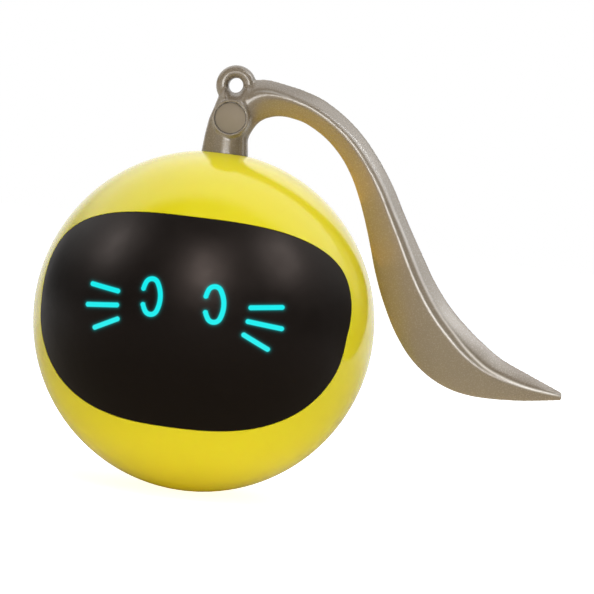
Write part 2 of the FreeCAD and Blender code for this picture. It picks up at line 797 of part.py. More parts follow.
def motor():
    place = gear_places()[3]
    low = layer(2)[0]
    high = low + motor_length
    can = rod(motor_radius, low, high, *place).common(motor_flats(place, low, high))
    return can.cut(rod(motor_shaft_radius + running, low - 1, high - 0.8, *place))


def motor_cap():
    place = gear_places()[3]
    low = layer(2)[0] + motor_length
    high = low + motor_cap_length
    cap = rod(motor_radius - motor_cap_step, low, high, *place)
    return cap.common(motor_flats(place, low, high))


def motor_leads():
    x, z = gear_places()[3]
    low = layer(2)[0] + motor_length + motor_cap_length
    return Part.makeCompound([rod(motor_lead_radius, low, main_board_y, x + side * motor_lead_spread, z)
                              for side in (-1, 1)])


def battery():
    width, depth, height = battery_size
    x, z = battery_centre
    high = front_plate_y - plate_thickness - pad_thickness
    cell = block(x - width / 2, x + width / 2, high - depth, high, z - height / 2, z + height / 2)
    return cell.makeFillet(battery_corner, [e for e in cell.Edges if e.BoundBox.ZLength > height / 2])


def battery_pad():
    width, depth, height = battery_size
    x, z = battery_centre
    high = front_plate_y - plate_thickness
    half_width = width / 2 - pad_inset
    half_height = height / 2 - pad_inset
    pad = block(x - half_width, x + half_width, high - pad_thickness, high, z - half_height, z + half_height)
    return pad.cut(rod(bush_radius + 1, high - 2 * pad_thickness, high + 1))


def main_board():
    low, high = main_board_y, main_board_y + board_thickness
    holes = [rod(small_screw_radius + gap, low - 1, high + 1, *polar(board_post_ring, a))
             for a in board_post_angles]
    return rod(main_board_radius, low, high).cut(holes)


def controller_chip():
    low = main_board_y + board_thickness
    half = chip_size / 2
    return block(chip_x - half, chip_x + half, low, low + chip_height, -half, half)


def charge_socket():
    """An upright charging socket on the main board: a steel sleeve."""
    low = main_board_y + board_thickness
    width, height = socket_size
    sleeve = flat_slot(width, height, low, socket_end, socket_z)
    inner = flat_slot(width - 2 * socket_wall, height - 2 * socket_wall, low + socket_floor, socket_end + 1,
                      socket_z)
    return sleeve.cut(inner)


def socket_tongue():
    low = main_board_y + board_thickness + socket_floor
    width, height = tongue_size
    return block(-width / 2, width / 2, low, socket_end - tongue_inset, socket_z - height / 2,
                 socket_z + height / 2)


def port_plug():
    """The soft plug that closes the charging socket, flush with the ball."""
    outer = flat_slot(plug_size[0] - 2 * gap, plug_size[1] - 2 * gap, socket_z, through, socket_z)
    head = outer.common(ball(ball_radius)).cut(ball(ball_radius - plug_thickness))
    width, height = socket_size
    room = socket_wall + 2 * gap
    stub = flat_slot(width - 2 * room, height - 2 * room, socket_end - plug_stub, through, socket_z)
    hollow = flat_slot(tongue_size[0] + 0.5, tongue_size[1] + 0.4, socket_end - 2 * plug_stub, socket_end,
                       socket_z)
    stub = stub.common(ball(ball_radius - plug_thickness / 2)).cut(hollow)
    return head.fuse(stub).removeSplitter()


def tact_switch():
    low = main_board_y + board_thickness
    half = switch_size / 2
    case = block(-half, half, low, low + switch_height, button_z - half, button_z + half)
    return case.cut(rod(stem_radius + gap, low + switch_floor, low + switch_height + 1, 0, button_z))


def switch_stem():
    low = main_board_y + board_thickness + switch_floor + button_travel + swing_gap
    return rod(stem_radius, low, button_pad_y - swing_gap - button_flange, 0, button_z)


def power_button():
    top = button_pad_y - swing_gap
    cap = rod(button_radius, top - button_flange, through, 0, button_z).common(ball(ball_radius))
    flange = rod(button_radius + button_flange_width, top - button_flange, top, 0, button_z)
    return cap.fuse(flange).removeSplitter()


def tail_peg():
    """The peg that turns in the ball: a flange under the wall, a neck, and a head inside the tail."""
    flange_top = land_z - axial_gap
    tail_base = seat_z + axial_gap
    up = FreeCAD.Vector(0, 0, 1)
    flange = Part.makeCylinder(peg_flange_radius, peg_flange_thickness,
                               FreeCAD.Vector(0, 0, flange_top - peg_flange_thickness), up)
    neck = Part.makeCylinder(peg_neck_radius, tail_base - flange_top, FreeCAD.Vector(0, 0, flange_top), up)
    head = Part.makeCylinder(peg_head_radius, tail_pin_z + pin_radius + peg_head_top - tail_base,
                             FreeCAD.Vector(0, 0, tail_base), up)
    eye = rod(pin_radius, -peg_head_radius - 1, peg_head_radius + 1, tail_pin_x, tail_pin_z)
    return flange.fuse([neck, head]).cut(eye).removeSplitter()


def rounded_ring():
    """The hanging ring: a rounded band turned about the hole's axis."""
    edge = ring_half_thickness - ring_land_half
    mid = (ring_hole_radius + ring_outer_radius) / 2
    half = ring_half_thickness
    low, high = ring_hole_radius - 0.4, ring_outer_radius
    profile = [(low, -half), (mid, -half), (high, -edge), (high, edge), (mid, half), (low, half)]
    points = [FreeCAD.Vector(r, y, 0) for r, y in profile]
    face = Part.Face(Part.makePolygon(points + points[:1]))
    ring = face.revolve(FreeCAD.Vector(0, 0, 0), out_y, 360)
    ring.translate(FreeCAD.Vector(ring_x, 0, ring_z))
    return ring


def ring_bore():
    """The ring's hole: a straight land that flares out on both sides."""
    reach = 6.0
    far = ring_hole_radius + reach - ring_land_half
    profile = [(0, -reach), (far, -reach), (ring_hole_radius, -ring_land_half),
               (ring_hole_radius, ring_land_half), (far, reach), (0, reach)]
    points = [FreeCAD.Vector(r, y, 0) for r, y in profile]
    bore = Part.Face(Part.makePolygon(points + points[:1])).revolve(FreeCAD.Vector(0, 0, 0), out_y, 360)
    bore.translate(FreeCAD.Vector(ring_x, 0, ring_z))
    return bore


def tail_root():
    """The round root, whose upper end leans over towards the arch."""
    base = seat_z + axial_gap
    up = FreeCAD.Vector(0, 0, 1)
    root = Part.makeCylinder(tail_root_radius, tail_lean_z - base, FreeCAD.Vector(tail_root_x, 0, base))
    low = Part.Circle(FreeCAD.Vector(tail_root_x, 0, tail_lean_z), up, tail_root_radius)
    high = Part.Circle(FreeCAD.Vector(tail_top_x, 0, tail_top_z), up, tail_top_radius)
    shoulder = Part.makeLoft([Part.Wire(low.toShape()), Part.Wire(high.toShape())], True, True)
    return root.fuse(shoulder)


def tail_blade():
    """The tail's long blade: kite sections between the back edge and the belly edge."""
    sections = []
    for back, belly, thick in zip(tail_back, tail_belly, tail_thickness):
        outer = FreeCAD.Vector(back[0], 0, back[1])
        inner = FreeCAD.Vector(belly[0], 0, belly[1])
        crest = outer + (inner - outer) * tail_crest
        side = FreeCAD.Vector(0, thick / 2, 0)
        sections.append(Part.makePolygon([outer, crest + side, inner, crest - side, outer]))
    return Part.makeLoft(sections, True, False)


def tail():
    base = seat_z + axial_gap
    boss = rod(pin_boss_radius, -pin_boss_half, pin_boss_half, tail_pin_x, tail_pin_z)
    body = tail_blade().fuse([tail_root(), boss, rounded_ring()])
    socket = Part.makeCylinder(peg_head_radius, tail_pin_z + pin_radius + peg_head_top + gap - base,
                               FreeCAD.Vector(0, 0, base))
    head_floor = pin_boss_half - pin_recess - pin_head_thickness
    heads = [rod(pin_head_radius + gap / 2, head_floor, through, tail_pin_x, tail_pin_z),
             rod(pin_head_radius + gap / 2, -through, -head_floor, tail_pin_x, tail_pin_z)]
    pin_hole = rod(pin_radius, -through, through, tail_pin_x, tail_pin_z)
    return body.cut([ring_bore(), socket, pin_hole] + heads).removeSplitter()


def tail_pin():
    floor = pin_boss_half - pin_recess - pin_head_thickness
    head = rod(pin_head_radius, -floor - pin_head_thickness, -floor, tail_pin_x, tail_pin_z)
    return head.fuse(rod(pin_radius, -floor, floor, tail_pin_x, tail_pin_z)).removeSplitter()


def tail_pin_cap():
    floor = pin_boss_half - pin_recess - pin_head_thickness
    return rod(pin_head_radius, floor, floor + pin_head_thickness, tail_pin_x, tail_pin_z)


def wire(path):
    """A flat lead along straight runs that are joined by tangent arcs."""
    points = [FreeCAD.Vector(*p) for p in path]
    edges = []
    start = points[0]
    for before, corner, after in zip(points, points[1:], points[2:]):
        into = (corner - before).normalize()
        out = (after - corner).normalize()
        turn = into.getAngle(out)
        run = lead_bend * min(before.distanceToPoint(corner), corner.distanceToPoint(after))
        radius = run / math.tan(turn / 2)
        first = corner - into * run
        last = corner + out * run
        bisector = (out - into).normalize()
        centre = corner + bisector * (radius / math.cos(turn / 2))
        middle = centre - bisector * radius
        edges.append(Part.makeLine(start, first))
        edges.append(Part.Arc(first, middle, last).toShape())
        start = last
    edges.append(Part.makeLine(start, points[-1]))
    spine = Part.Wire(edges)
    along = (points[1] - points[0]).normalize()
    across = along.cross(FreeCAD.Vector(0, 0, 1)).normalize() * (lead_thickness / 2)
    high = across.cross(along).normalize() * (lead_width / 2)
    corners = [points[0] + across + high, points[0] - across + high, points[0] - across - high,
               points[0] + across - high]
    end = Part.makePolygon(corners + corners[:1])
    return spine.makePipeShell([end], True, False)


def battery_lead():
    return wire(battery_wire)


def face_lead():
    return wire(face_wire)


def eye_window(side):
    return light_window([eye_prism(side, 0, -through, face_board_y - led_height - gap)])


def left_eye_window():
    return eye_window(-1)


def right_eye_window():
    return eye_window(1)


def whisker_windows(side):
    return light_window(whisker_prisms(side, 0, -through, face_board_y - led_height - gap))


def left_whisker_windows():
    return whisker_windows(-1)


def right_whisker_windows():
    return whisker_windows(1)


pieces = [
    front_shell, rear_shell, visor, light_mask, left_eye_window, right_eye_window,
    left_whisker_windows, right_whisker_windows, face_board, face_leds, face_screws, shell_screws,
    front_plate, rear_plate, plate_screws, front_bush, rear_bush, battery, battery_pad, battery_lead,
    face_lead, drive_shaft, weight_arm, swing_weight, weight_screws, output_gear, second_gear,
    first_gear, gear_pins, gear_cover, cover_screws, motor, motor_cap, motor_leads, motor_shaft,
    motor_pinion, main_board, controller_chip, board_screws, charge_socket, socket_tongue, port_plug,
    tact_switch, switch_stem, power_button, tail, tail_peg, tail_pin, tail_pin_cap,
]

os.makedirs("parts", exist_ok=True)
for make_piece in pieces:
    shape = make_piece()
    shape.translate(FreeCAD.Vector(0, 0, ball_radius))
    name = make_piece.__name__
    shape.exportStep("parts/" + name + ".step")
    print(name, len(shape.Solids), round(sum(s.Volume for s in shape.Solids), 1), shape.isValid())
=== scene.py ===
import json
import math

import bmesh
import bpy
from mathutils import Matrix, Quaternion, Vector
from mathutils.kdtree import KDTree


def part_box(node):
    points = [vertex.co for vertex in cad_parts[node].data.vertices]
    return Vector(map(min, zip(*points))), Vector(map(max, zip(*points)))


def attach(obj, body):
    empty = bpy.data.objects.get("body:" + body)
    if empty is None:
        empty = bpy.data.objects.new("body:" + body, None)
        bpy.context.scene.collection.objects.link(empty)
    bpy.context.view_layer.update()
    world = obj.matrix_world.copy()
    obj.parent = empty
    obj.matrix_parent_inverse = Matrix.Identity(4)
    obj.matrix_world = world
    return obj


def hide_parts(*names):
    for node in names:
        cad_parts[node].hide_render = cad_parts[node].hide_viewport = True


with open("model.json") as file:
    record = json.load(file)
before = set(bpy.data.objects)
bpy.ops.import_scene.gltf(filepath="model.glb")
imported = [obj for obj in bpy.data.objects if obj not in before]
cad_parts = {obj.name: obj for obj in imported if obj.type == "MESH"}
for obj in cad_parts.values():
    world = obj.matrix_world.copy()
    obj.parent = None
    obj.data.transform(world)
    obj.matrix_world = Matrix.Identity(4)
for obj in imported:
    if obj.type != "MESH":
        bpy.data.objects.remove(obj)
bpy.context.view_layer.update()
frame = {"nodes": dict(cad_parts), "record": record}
mm = 0.001
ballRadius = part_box("rear_shell")[1].y
ballCentre = Vector((0, 0, ballRadius))


def tone(red, green, blue):
    # a colour as it is read in the picture, 0 to 255, as the linear colour that nodes take
    return tuple((c / 255 / 12.92) if c <= 10 else ((c / 255 + 0.055) / 1.055) ** 2.4
                 for c in (red, green, blue)) + (1.0,)


def addNode(tree, kind, inputs=None, **settings):
    node = tree.nodes.new(kind)
    for key, value in settings.items():
        setattr(node, key, value)
    for key, value in (inputs or {}).items():
        if isinstance(value, bpy.types.NodeSocket):
            tree.links.new(value, node.inputs[key])
        else:
            node.inputs[key].default_value = value
    return node


def calc(tree, operation, *values):
    # one Math node; values are numbers or sockets
    return addNode(tree, "ShaderNodeMath", dict(enumerate(values)), operation=operation).outputs[0]


def times(tree, first, second):
    return calc(tree, "MULTIPLY", first, second)


def minus(tree, first, second):
    return calc(tree, "SUBTRACT", first, second)


def square(tree, value):
    return times(tree, value, value)


def bell(tree, value, reach):
    # 1 where the value is zero, fading out over the reach
    return calc(tree, "EXPONENT", times(tree, square(tree, calc(tree, "DIVIDE", value, reach)), -1.0))


def ramp(tree, value, start, end, low=0.0, high=1.0, kind="LINEAR"):
    # low up to the start, high from the end on
    return addNode(tree, "ShaderNodeMapRange", {"Value": value, "From Min": start, "From Max": end,
                                                "To Min": low, "To Max": high}, interpolation_type=kind).outputs[0]


def blend(tree, share, first, second):
    # from one colour to another
    return addNode(tree, "ShaderNodeMix", {0: share, 6: first, 7: second}, data_type="RGBA").outputs[2]


def startMaterial(name):
    material = bpy.data.materials.new(name)
    material.use_nodes = True
    material.node_tree.nodes.clear()
    return material, material.node_tree


def angles(count):
    return [2 * math.pi * i / count for i in range(count)]


def newPiece(name, data):
    piece = bpy.data.objects.new(name, data)
    bpy.context.scene.collection.objects.link(piece)
    return piece


cameraView = {"azimuth": 7.7, "elevation": 2.5, "lean": 6.9, "distance": 0.60,
              "ballPixels": 170.5, "ballAt": (204.0, 321.2), "picture": 594.0, "sensor": 36.0}


def makeCamera(view):
    reach = math.sqrt(view["distance"] ** 2 - ballRadius ** 2)
    focal = view["ballPixels"] * reach / ballRadius   # in pixels
    data = bpy.data.cameras.new("photoCamera")
    data.sensor_width = view["sensor"]
    data.lens = focal / view["picture"] * view["sensor"]
    data.clip_start, data.clip_end = 0.01, 30
    turn, rise, lean = (math.radians(view[k]) for k in ("azimuth", "elevation", "lean"))
    back = Vector((math.sin(turn) * math.cos(rise), -math.cos(turn) * math.cos(rise), math.sin(rise)))
    side = Vector((math.cos(turn), math.sin(turn), 0))
    above = back.cross(side)
    right = side * math.cos(lean) + above * math.sin(lean)   # the object leans to the right in the picture
    up = above * math.cos(lean) - side * math.sin(lean)
    basis = Matrix((right, up, back)).transposed()
    # the ball stands off the picture's middle, so the camera turns a little; there is no shift
    half = view["picture"] / 2
    offset = Vector((view["ballAt"][0] - half, half - view["ballAt"][1], -focal))
    aim = (basis @ offset).normalized().rotation_difference(-back).to_matrix()
    camera = newPiece("photoCamera", data)
    camera.matrix_world = Matrix.Translation(ballCentre + back * view["distance"]) @ (aim @ basis).to_4x4()
    bpy.context.scene.camera = camera


makeCamera(cameraView)
print("camera placed")


studio = {
    "floorRadius": 6.0, "floorSides": 64, "floorTone": (236, 236, 236), "floorWhite": 0.84,
    # what gloss sees of the floor: painted shade in the floorNear colour near the ball, darker at the contact, white
    # from floorShade's far end on
    "floorShade": (0.04, 0.40),
    "floorGloss": 1.0, "floorNear": (170, 160, 140), "floorContact": (0.009, 0.024), "contactGloss": 0.08,
    # painted bounce light: the floor itself glows warm round the ball for diffuse rays, standing in for light that
    # the paper throws back up, tinted by the ball
    "bounce": (255, 238, 165), "bounceStrength": 0.52, "bounceReach": 0.16,
    "ambient": 0.42,
    # what gloss sees: white paper behind, a bright ceiling above and behind, a dark room in front
    "paper": 1.15, "paperFrom": (0.56, 0.88), "room": 0.10,
    "ceiling": 1.5, "ceilingFrom": (0.10, 0.55), "ceilingBack": (-0.12, 0.15),
    "lamps": [
        # name, direction from the ball, distance, width, height, watts, what sees it
        ("leftBox", (-0.785, -0.21, 0.57), 0.78, 0.22, 0.32, 2.3, "window"),
        ("frontBox", (0.065, -0.83, 0.55), 0.78, 0.22, 0.36, 4.8, "window"),
        ("rightBox", (0.67, -0.25, 0.68), 0.78, 0.22, 0.32, 3.7, "window"),
        ("topBox", (0.12, -0.35, 0.90), 0.85, 0.70, 0.50, 6.0, "soft"),
        ("fillBox", (0.42, -0.85, 0.38), 1.00, 0.60, 0.60, 2.7, "soft"),
        ("tailBox", (-0.55, -0.82, 0.15), 1.0, 0.60, 0.60, 3.4, "tailSoft"),
        ("tailTop", (-0.10, -0.45, 0.88), 0.9, 0.50, 0.50, 2.8, "tailSoft"),
        ("facetBox", (0.72, 0.16, 0.62), 0.80, 0.45, 1.30, 3.6, "tail"),
        ("lensBox", (0.17, -0.98, 0.13), 0.62, 0.34, 0.20, 2.1, "tail"),
        # long soft strips that draw the two lines along the tail's ridge
        ("lowStrip", (0.45, -0.69, 0.57), 0.78, 0.70, 0.07, 0.32, "tail"),
        ("highStrip", (0.555, -0.14, 0.82), 0.78, 0.70, 0.08, 1.5, "tail"),
        # cards against the ball that throw its yellow onto the tail
        ("upperCard", (0.48, -0.10, 0.87), 0.0400, 0.022, 0.022, 0.0008, "card"),
        ("middleCard", (0.76, -0.10, 0.64), 0.0392, 0.020, 0.022, 0.0005, "card"),
        ("sideCard", (0.95, -0.12, 0.26), 0.0386, 0.020, 0.022, 0.0003, "card"),
    ],
    "cardTone": (255, 184, 0), "stripSlant": 33.0,
}


def makeFloor(look):
    mesh = bpy.data.meshes.new("floor")
    radius, sides = look["floorRadius"], look["floorSides"]
    corners = [(radius * math.cos(a), radius * math.sin(a), 0) for a in angles(sides)]
    mesh.from_pydata(corners, [], [tuple(range(sides))])
    floor = newPiece("floor", mesh)
    material, tree = startMaterial("paleFloor")
    paper = addNode(tree, "ShaderNodeBsdfDiffuse", {"Color": tone(*look["floorTone"])})
    path = addNode(tree, "ShaderNodeLightPath")
    spot = addNode(tree, "ShaderNodeTexCoord").outputs["Object"]
    away = addNode(tree, "ShaderNodeVectorMath", {0: spot}, operation="LENGTH").outputs["Value"]
    # gloss sees the white only away from the object; nearer, it sees a painted shade of the paper, darker still at
    # the contact
    clear = ramp(tree, away, *look["floorShade"])
    seen = calc(tree, "MAXIMUM", path.outputs["Is Camera Ray"], path.outputs["Is Transmission Ray"])
    white = addNode(tree, "ShaderNodeEmission", {"Strength": times(tree, seen, look["floorWhite"])})
    # painted bounce light: the floor glows warm near the ball, for diffuse rays only
    nearby = times(tree, bell(tree, away, look["bounceReach"]), look["bounceStrength"])
    warm = times(tree, path.outputs["Is Diffuse Ray"], nearby)
    bounce = addNode(tree, "ShaderNodeEmission", {"Color": tone(*look["bounce"]), "Strength": warm})
    lit = addNode(tree, "ShaderNodeAddShader", {0: paper.outputs[0], 1: white.outputs[0]})
    lit = addNode(tree, "ShaderNodeAddShader", {0: lit.outputs[0], 1: bounce.outputs[0]})
    mirrored = blend(tree, clear, tone(*look["floorNear"]), (1, 1, 1, 1))
    touch = ramp(tree, away, *look["floorContact"], look["contactGloss"], look["floorGloss"])
    mirrored = addNode(tree, "ShaderNodeEmission", {"Color": mirrored, "Strength": touch})
    both = addNode(tree, "ShaderNodeMixShader", {0: path.outputs["Is Glossy Ray"], 1: lit.outputs[0],
                                                 2: mirrored.outputs[0]})
    addNode(tree, "ShaderNodeOutputMaterial", {"Surface": both.outputs[0]})
    mesh.materials.append(material)


def makeWorld(look):
    world = bpy.data.worlds.new("studio")
    bpy.context.scene.world = world
    world.use_nodes = True
    tree = world.node_tree
    tree.nodes.clear()
    way = addNode(tree, "ShaderNodeSeparateXYZ", {0: addNode(tree, "ShaderNodeTexCoord").outputs["Generated"]})

    def rise(axis, reach, level):
        return ramp(tree, way.outputs[axis], *reach, high=level, kind="SMOOTHSTEP")

    overhead = times(tree, rise("Z", look["ceilingFrom"], look["ceiling"]), rise("Y", look["ceilingBack"], 1.0))
    studioGlow = calc(tree, "MAXIMUM", calc(tree, "MAXIMUM", overhead, look["room"]),
                      rise("Y", look["paperFrom"], look["paper"]))
    path = addNode(tree, "ShaderNodeLightPath")
    isGloss = path.outputs["Is Glossy Ray"]
    paper = addNode(tree, "ShaderNodeMix", {0: isGloss, 2: 1.0, 3: studioGlow}).outputs[0]
    white = addNode(tree, "ShaderNodeBackground", {"Color": (1, 1, 1, 1), "Strength": paper})
    dim = times(tree, studioGlow, look["ambient"])
    soft = addNode(tree, "ShaderNodeBackground", {"Color": (1, 1, 1, 1), "Strength": dim})
    seen = calc(tree, "MAXIMUM", path.outputs["Is Camera Ray"],
                calc(tree, "MAXIMUM", isGloss, path.outputs["Is Transmission Ray"]))
    mix = addNode(tree, "ShaderNodeMixShader", {0: seen, 1: soft.outputs[0], 2: white.outputs[0]})
    addNode(tree, "ShaderNodeOutputWorld", {"Surface": mix.outputs[0]})


# which pieces the lamps of each kind light: "soft" holds the tail as the one piece that they don't
litBy = {name: bpy.data.collections.new(name + "Lit") for name in ("tail", "tailSoft", "window", "soft")}


def makeLamps(look):
    for name, way, distance, width, height, watts, seenBy in look["lamps"]:
        data = bpy.data.lights.new(name, "AREA")
        data.shape, data.size, data.size_y, data.energy = "RECTANGLE", width, height, watts
        lamp = newPiece(name, data)
        way = Vector(way).normalized()
        lamp.location = ballCentre + way * distance
        if seenBy == "card":
            way = -way
            data.color = tone(*look["cardTone"])[:3]
        turn = way.to_track_quat("Z", "Y")
        if name.endswith("Strip"):
            turn = turn @ Quaternion((0, 0, 1), math.radians(-look["stripSlant"]))
        lamp.rotation_euler = turn.to_euler()
        lamp.visible_glossy = seenBy not in ("soft", "tailSoft")
        lamp.visible_diffuse = seenBy not in ("tail", "window")
        if seenBy in litBy:
            lamp.light_linking.receiver_collection = litBy[seenBy]
        lamp.visible_camera = False


makeFloor(studio)
makeWorld(studio)
makeLamps(studio)
bpy.context.scene.view_settings.view_transform = "Standard"
print("floor, world and lamps made")


finishes = {
    # colour, a second colour that it drifts to and over how many mm, roughness and its spread, grain size
    # and depth in mm
    "yellow_shell": {"color": (221, 208, 26), "drift": (217, 202, 22), "blotch": 22.0, "rough": 0.15,
                     "spread": 0.03, "grain": 0.9, "depth": 0.003, "under": 0.25},
    "dark_window": {"color": (17, 13, 11), "drift": (14, 11, 9), "blotch": 9.0, "rough": 0.38, "spread": 0.04,
                    "grain": 5.0, "depth": 0.05, "specular": 0.13, "specularTint": (255, 232, 222)},
    "light_mark": {"color": (14, 90, 90), "drift": (11, 78, 78), "blotch": 0.7, "rough": 0.35, "spread": 0.05,
                   "depth": 0.002},
    "black_mask": {"color": (32, 32, 33), "drift": (26, 26, 27), "blotch": 5.0, "rough": 0.62, "spread": 0.08,
                   "grain": 0.25, "depth": 0.01},
    "tail_rubber": {"color": (142, 128, 109), "drift": (139, 125, 106), "blotch": 0.5, "rough": 0.27,
                    "spread": 0.012, "grain": 0.35, "depth": 0.002, "specular": 0.8},
    "tail_plug": {"color": (149, 137, 121), "drift": (144, 131, 115), "rough": 0.36, "spread": 0.05},
    "peg_plastic": {"color": (140, 128, 116), "drift": (132, 120, 108), "blotch": 4.0, "rough": 0.45},
    "steel": {"color": (176, 178, 182), "drift": (150, 152, 156), "blotch": 1.2, "rough": 0.28, "spread": 0.10,
              "grain": 0.15, "depth": 0.002, "metal": 1.0},
    "weight_steel": {"color": (132, 134, 138), "drift": (112, 113, 117), "blotch": 4.0, "rough": 0.42,
                     "spread": 0.12, "grain": 0.4, "depth": 0.01, "metal": 1.0},
    "brass": {"color": (201, 166, 96), "drift": (184, 146, 78), "blotch": 1.0, "rough": 0.28, "spread": 0.08,
              "grain": 0.2, "depth": 0.002, "metal": 1.0},
    "gear_plastic": {"color": (236, 234, 224), "drift": (228, 225, 213), "rough": 0.38, "depth": 0.003},
    "grey_frame": {"color": (92, 95, 99), "drift": (84, 87, 91), "blotch": 8.0, "rough": 0.55, "spread": 0.08,
                   "depth": 0.008},
    "green_board": {"color": (28, 102, 58), "drift": (20, 84, 46), "blotch": 1.6, "rough": 0.30, "spread": 0.10,
                    "grain": 0.8, "depth": 0.006},
    "black_chip": {"color": (36, 36, 38), "drift": (30, 30, 31), "blotch": 2.0, "rough": 0.5, "spread": 0.08,
                   "grain": 0.12},
    "silver_cell": {"color": (190, 194, 200), "drift": (172, 176, 184), "blotch": 6.0, "rough": 0.30,
                    "spread": 0.12, "grain": 3.0, "depth": 0.05, "metal": 0.7},
    "pad_foam": {"color": (214, 214, 208), "drift": (196, 196, 190), "blotch": 0.5, "rough": 0.95, "spread": 0.04,
                 "grain": 0.35, "depth": 0.06},
    "lead_jacket": {"color": (176, 34, 26), "drift": (150, 26, 20), "rough": 0.42, "grain": 0.4, "depth": 0.006},
    "yellow_rubber": {"color": (226, 214, 62), "drift": (218, 203, 54), "rough": 0.55, "grain": 0.25,
                      "depth": 0.006},
    "button_plastic": {"color": (158, 145, 133), "drift": (150, 137, 125), "rough": 0.42, "spread": 0.05,
                       "grain": 0.25},
    "white_led": {"color": (244, 243, 228), "drift": (250, 240, 190), "blotch": 0.8, "rough": 0.25, "grain": 0.2,
                  "depth": 0.002},
}

# what a finish has where its own settings name nothing else; depths in mm
common = {"blotch": 3.0, "spread": 0.06, "grain": 0.3, "depth": 0.004, "metal": 0.0, "noise": 0.55,
          "specular": 0.5, "specularTint": (255, 255, 255), "glossSize": 0.6, "glossReach": (0.3, 0.7),
          "under": 0.0, "underTint": (1.0, 0.55, 0.08), "underDepth": 1.5}


def finishMaterial(name, look):
    # colour that drifts over the piece, uneven gloss and a fine moulded or brushed grain
    look = {**common, **look}
    material, tree = startMaterial(name)
    place = addNode(tree, "ShaderNodeTexCoord").outputs["Object"]

    def noise(size, detail):
        return addNode(tree, "ShaderNodeTexNoise", {"Vector": place, "Scale": 1 / (size * mm), "Detail": detail,
                                                    "Roughness": look["noise"]}).outputs["Fac"]

    drift = blend(tree, noise(look["blotch"], 3.0), tone(*look["color"]), tone(*look["drift"]))
    gloss = ramp(tree, noise(look["blotch"] * look["glossSize"], 4.0), *look["glossReach"],
                 look["rough"] - look["spread"], look["rough"] + look["spread"])
    bump = addNode(tree, "ShaderNodeBump", {"Height": noise(look["grain"], 2.0), "Strength": 1.0,
                                            "Distance": look["depth"] * mm})
    shader = addNode(tree, "ShaderNodeBsdfPrincipled",
                     {"Base Color": drift, "Roughness": gloss, "Normal": bump.outputs[0],
                      "Metallic": look["metal"], "Specular IOR Level": look["specular"],
                      "Specular Tint": tone(*look["specularTint"]), "Subsurface Weight": look["under"],
                      "Subsurface Radius": look["underTint"], "Subsurface Scale": look["underDepth"] * mm})
    addNode(tree, "ShaderNodeOutputMaterial", {"Surface": shader.outputs[0]})
    return material, tree, shader


faceMarks = {
    # the lit marks in mm from the ball's centre, seen from the front; a whisker by its two ends
    "whiskers": [(14.05, 5.5, 20.1, 6.25), (13.85, 2.6, 20.55, 1.85), (13.35, -0.25, 18.3, -2.7)],
    "eyeAt": (6.62, 5.3), "eyeHalfWidth": 1.95, "eyeHalfHeight": 3.68, "eyeTip": 1.4, "eyeOpening": 27.0,
    "eyeSlant": 6.0, "halfStroke": 0.575,
    "rim": (0, 92, 95), "strength": 1.0, "light": (0, 228, 230), "evenReach": 0.66, "rimReach": 1.05,
    # the painted glow on the smoked window round the marks
    "paintedGlow": (0, 190, 190), "paintedGlowStrength": 0.22, "paintedGlowReach": 0.20,
}


def length(tree, a, b):
    return calc(tree, "SQRT", calc(tree, "ADD", square(tree, a), square(tree, b)))


def barDistance(tree, x, z, ends):
    x0, z0, x1, z1 = ends
    long = math.hypot(x1 - x0, z1 - z0)
    ax, az = (x1 - x0) / long, (z1 - z0) / long
    dx, dz = minus(tree, x, x0), minus(tree, z, z0)
    along = calc(tree, "MULTIPLY_ADD", dx, ax, times(tree, dz, az))
    along = calc(tree, "MINIMUM", calc(tree, "MAXIMUM", along, 0.0), long)
    return length(tree, minus(tree, dx, times(tree, along, ax)), minus(tree, dz, times(tree, along, az)))


def eyeDistance(tree, x, z, look):
    # in the eye's own leaning frame: tight arcs above and below, wide arcs at the sides
    slant = math.radians(look["eyeSlant"])
    c, s = math.cos(slant), math.sin(slant)
    u = calc(tree, "MULTIPLY_ADD", x, c, times(tree, z, s))
    v = calc(tree, "MULTIPLY_ADD", z, c, times(tree, x, -s))
    up, across = calc(tree, "ABSOLUTE", v), calc(tree, "ABSOLUTE", u)
    wide, tip = look["eyeHalfWidth"], look["eyeTip"]
    rise = look["eyeHalfHeight"] - tip
    side = (wide ** 2 + rise ** 2 - tip ** 2) / (2 * (wide - tip))
    back = side - wide
    pastRise = minus(tree, up, rise)
    atTip = calc(tree, "ABSOLUTE", minus(tree, length(tree, across, pastRise), tip))
    atSide = calc(tree, "ABSOLUTE", minus(tree, length(tree, calc(tree, "ADD", across, back), up), side))
    # beyond the line through both arcs' centres the tight arc is the nearer one
    isTip = calc(tree, "GREATER_THAN", times(tree, pastRise, back), times(tree, across, rise))
    ring = addNode(tree, "ShaderNodeMix", {0: isTip, 2: atSide, 3: atTip}).outputs[0]
    opening = math.radians(180 - look["eyeOpening"])
    endU, endV = wide * math.cos(opening), look["eyeHalfHeight"] * math.sin(opening)
    atEnd = length(tree, minus(tree, u, endU), minus(tree, up, endV))
    inMouth = times(tree, calc(tree, "GREATER_THAN", times(tree, u, endV / endU), up),
                    calc(tree, "LESS_THAN", u, 0.0))
    return addNode(tree, "ShaderNodeMix", {0: inMouth, 2: ring, 3: atEnd}).outputs[0]


def markDistance(tree, look):
    # mm from the nearest stroke's middle line; the whiskers are mirrored, the eyes only moved
    flat = addNode(tree, "ShaderNodeSeparateXYZ", {0: addNode(tree, "ShaderNodeTexCoord").outputs["Object"]}).outputs
    x = times(tree, flat["X"], 1 / mm)
    z = calc(tree, "MULTIPLY_ADD", flat["Z"], 1 / mm, -ballRadius / mm)
    eyeX = minus(tree, x, times(tree, calc(tree, "SIGN", x), look["eyeAt"][0]))
    nearest = eyeDistance(tree, eyeX, minus(tree, z, look["eyeAt"][1]), look)
    mirrored = calc(tree, "ABSOLUTE", x)
    for ends in look["whiskers"]:
        nearest = calc(tree, "MINIMUM", nearest, barDistance(tree, mirrored, z, ends))
    return nearest


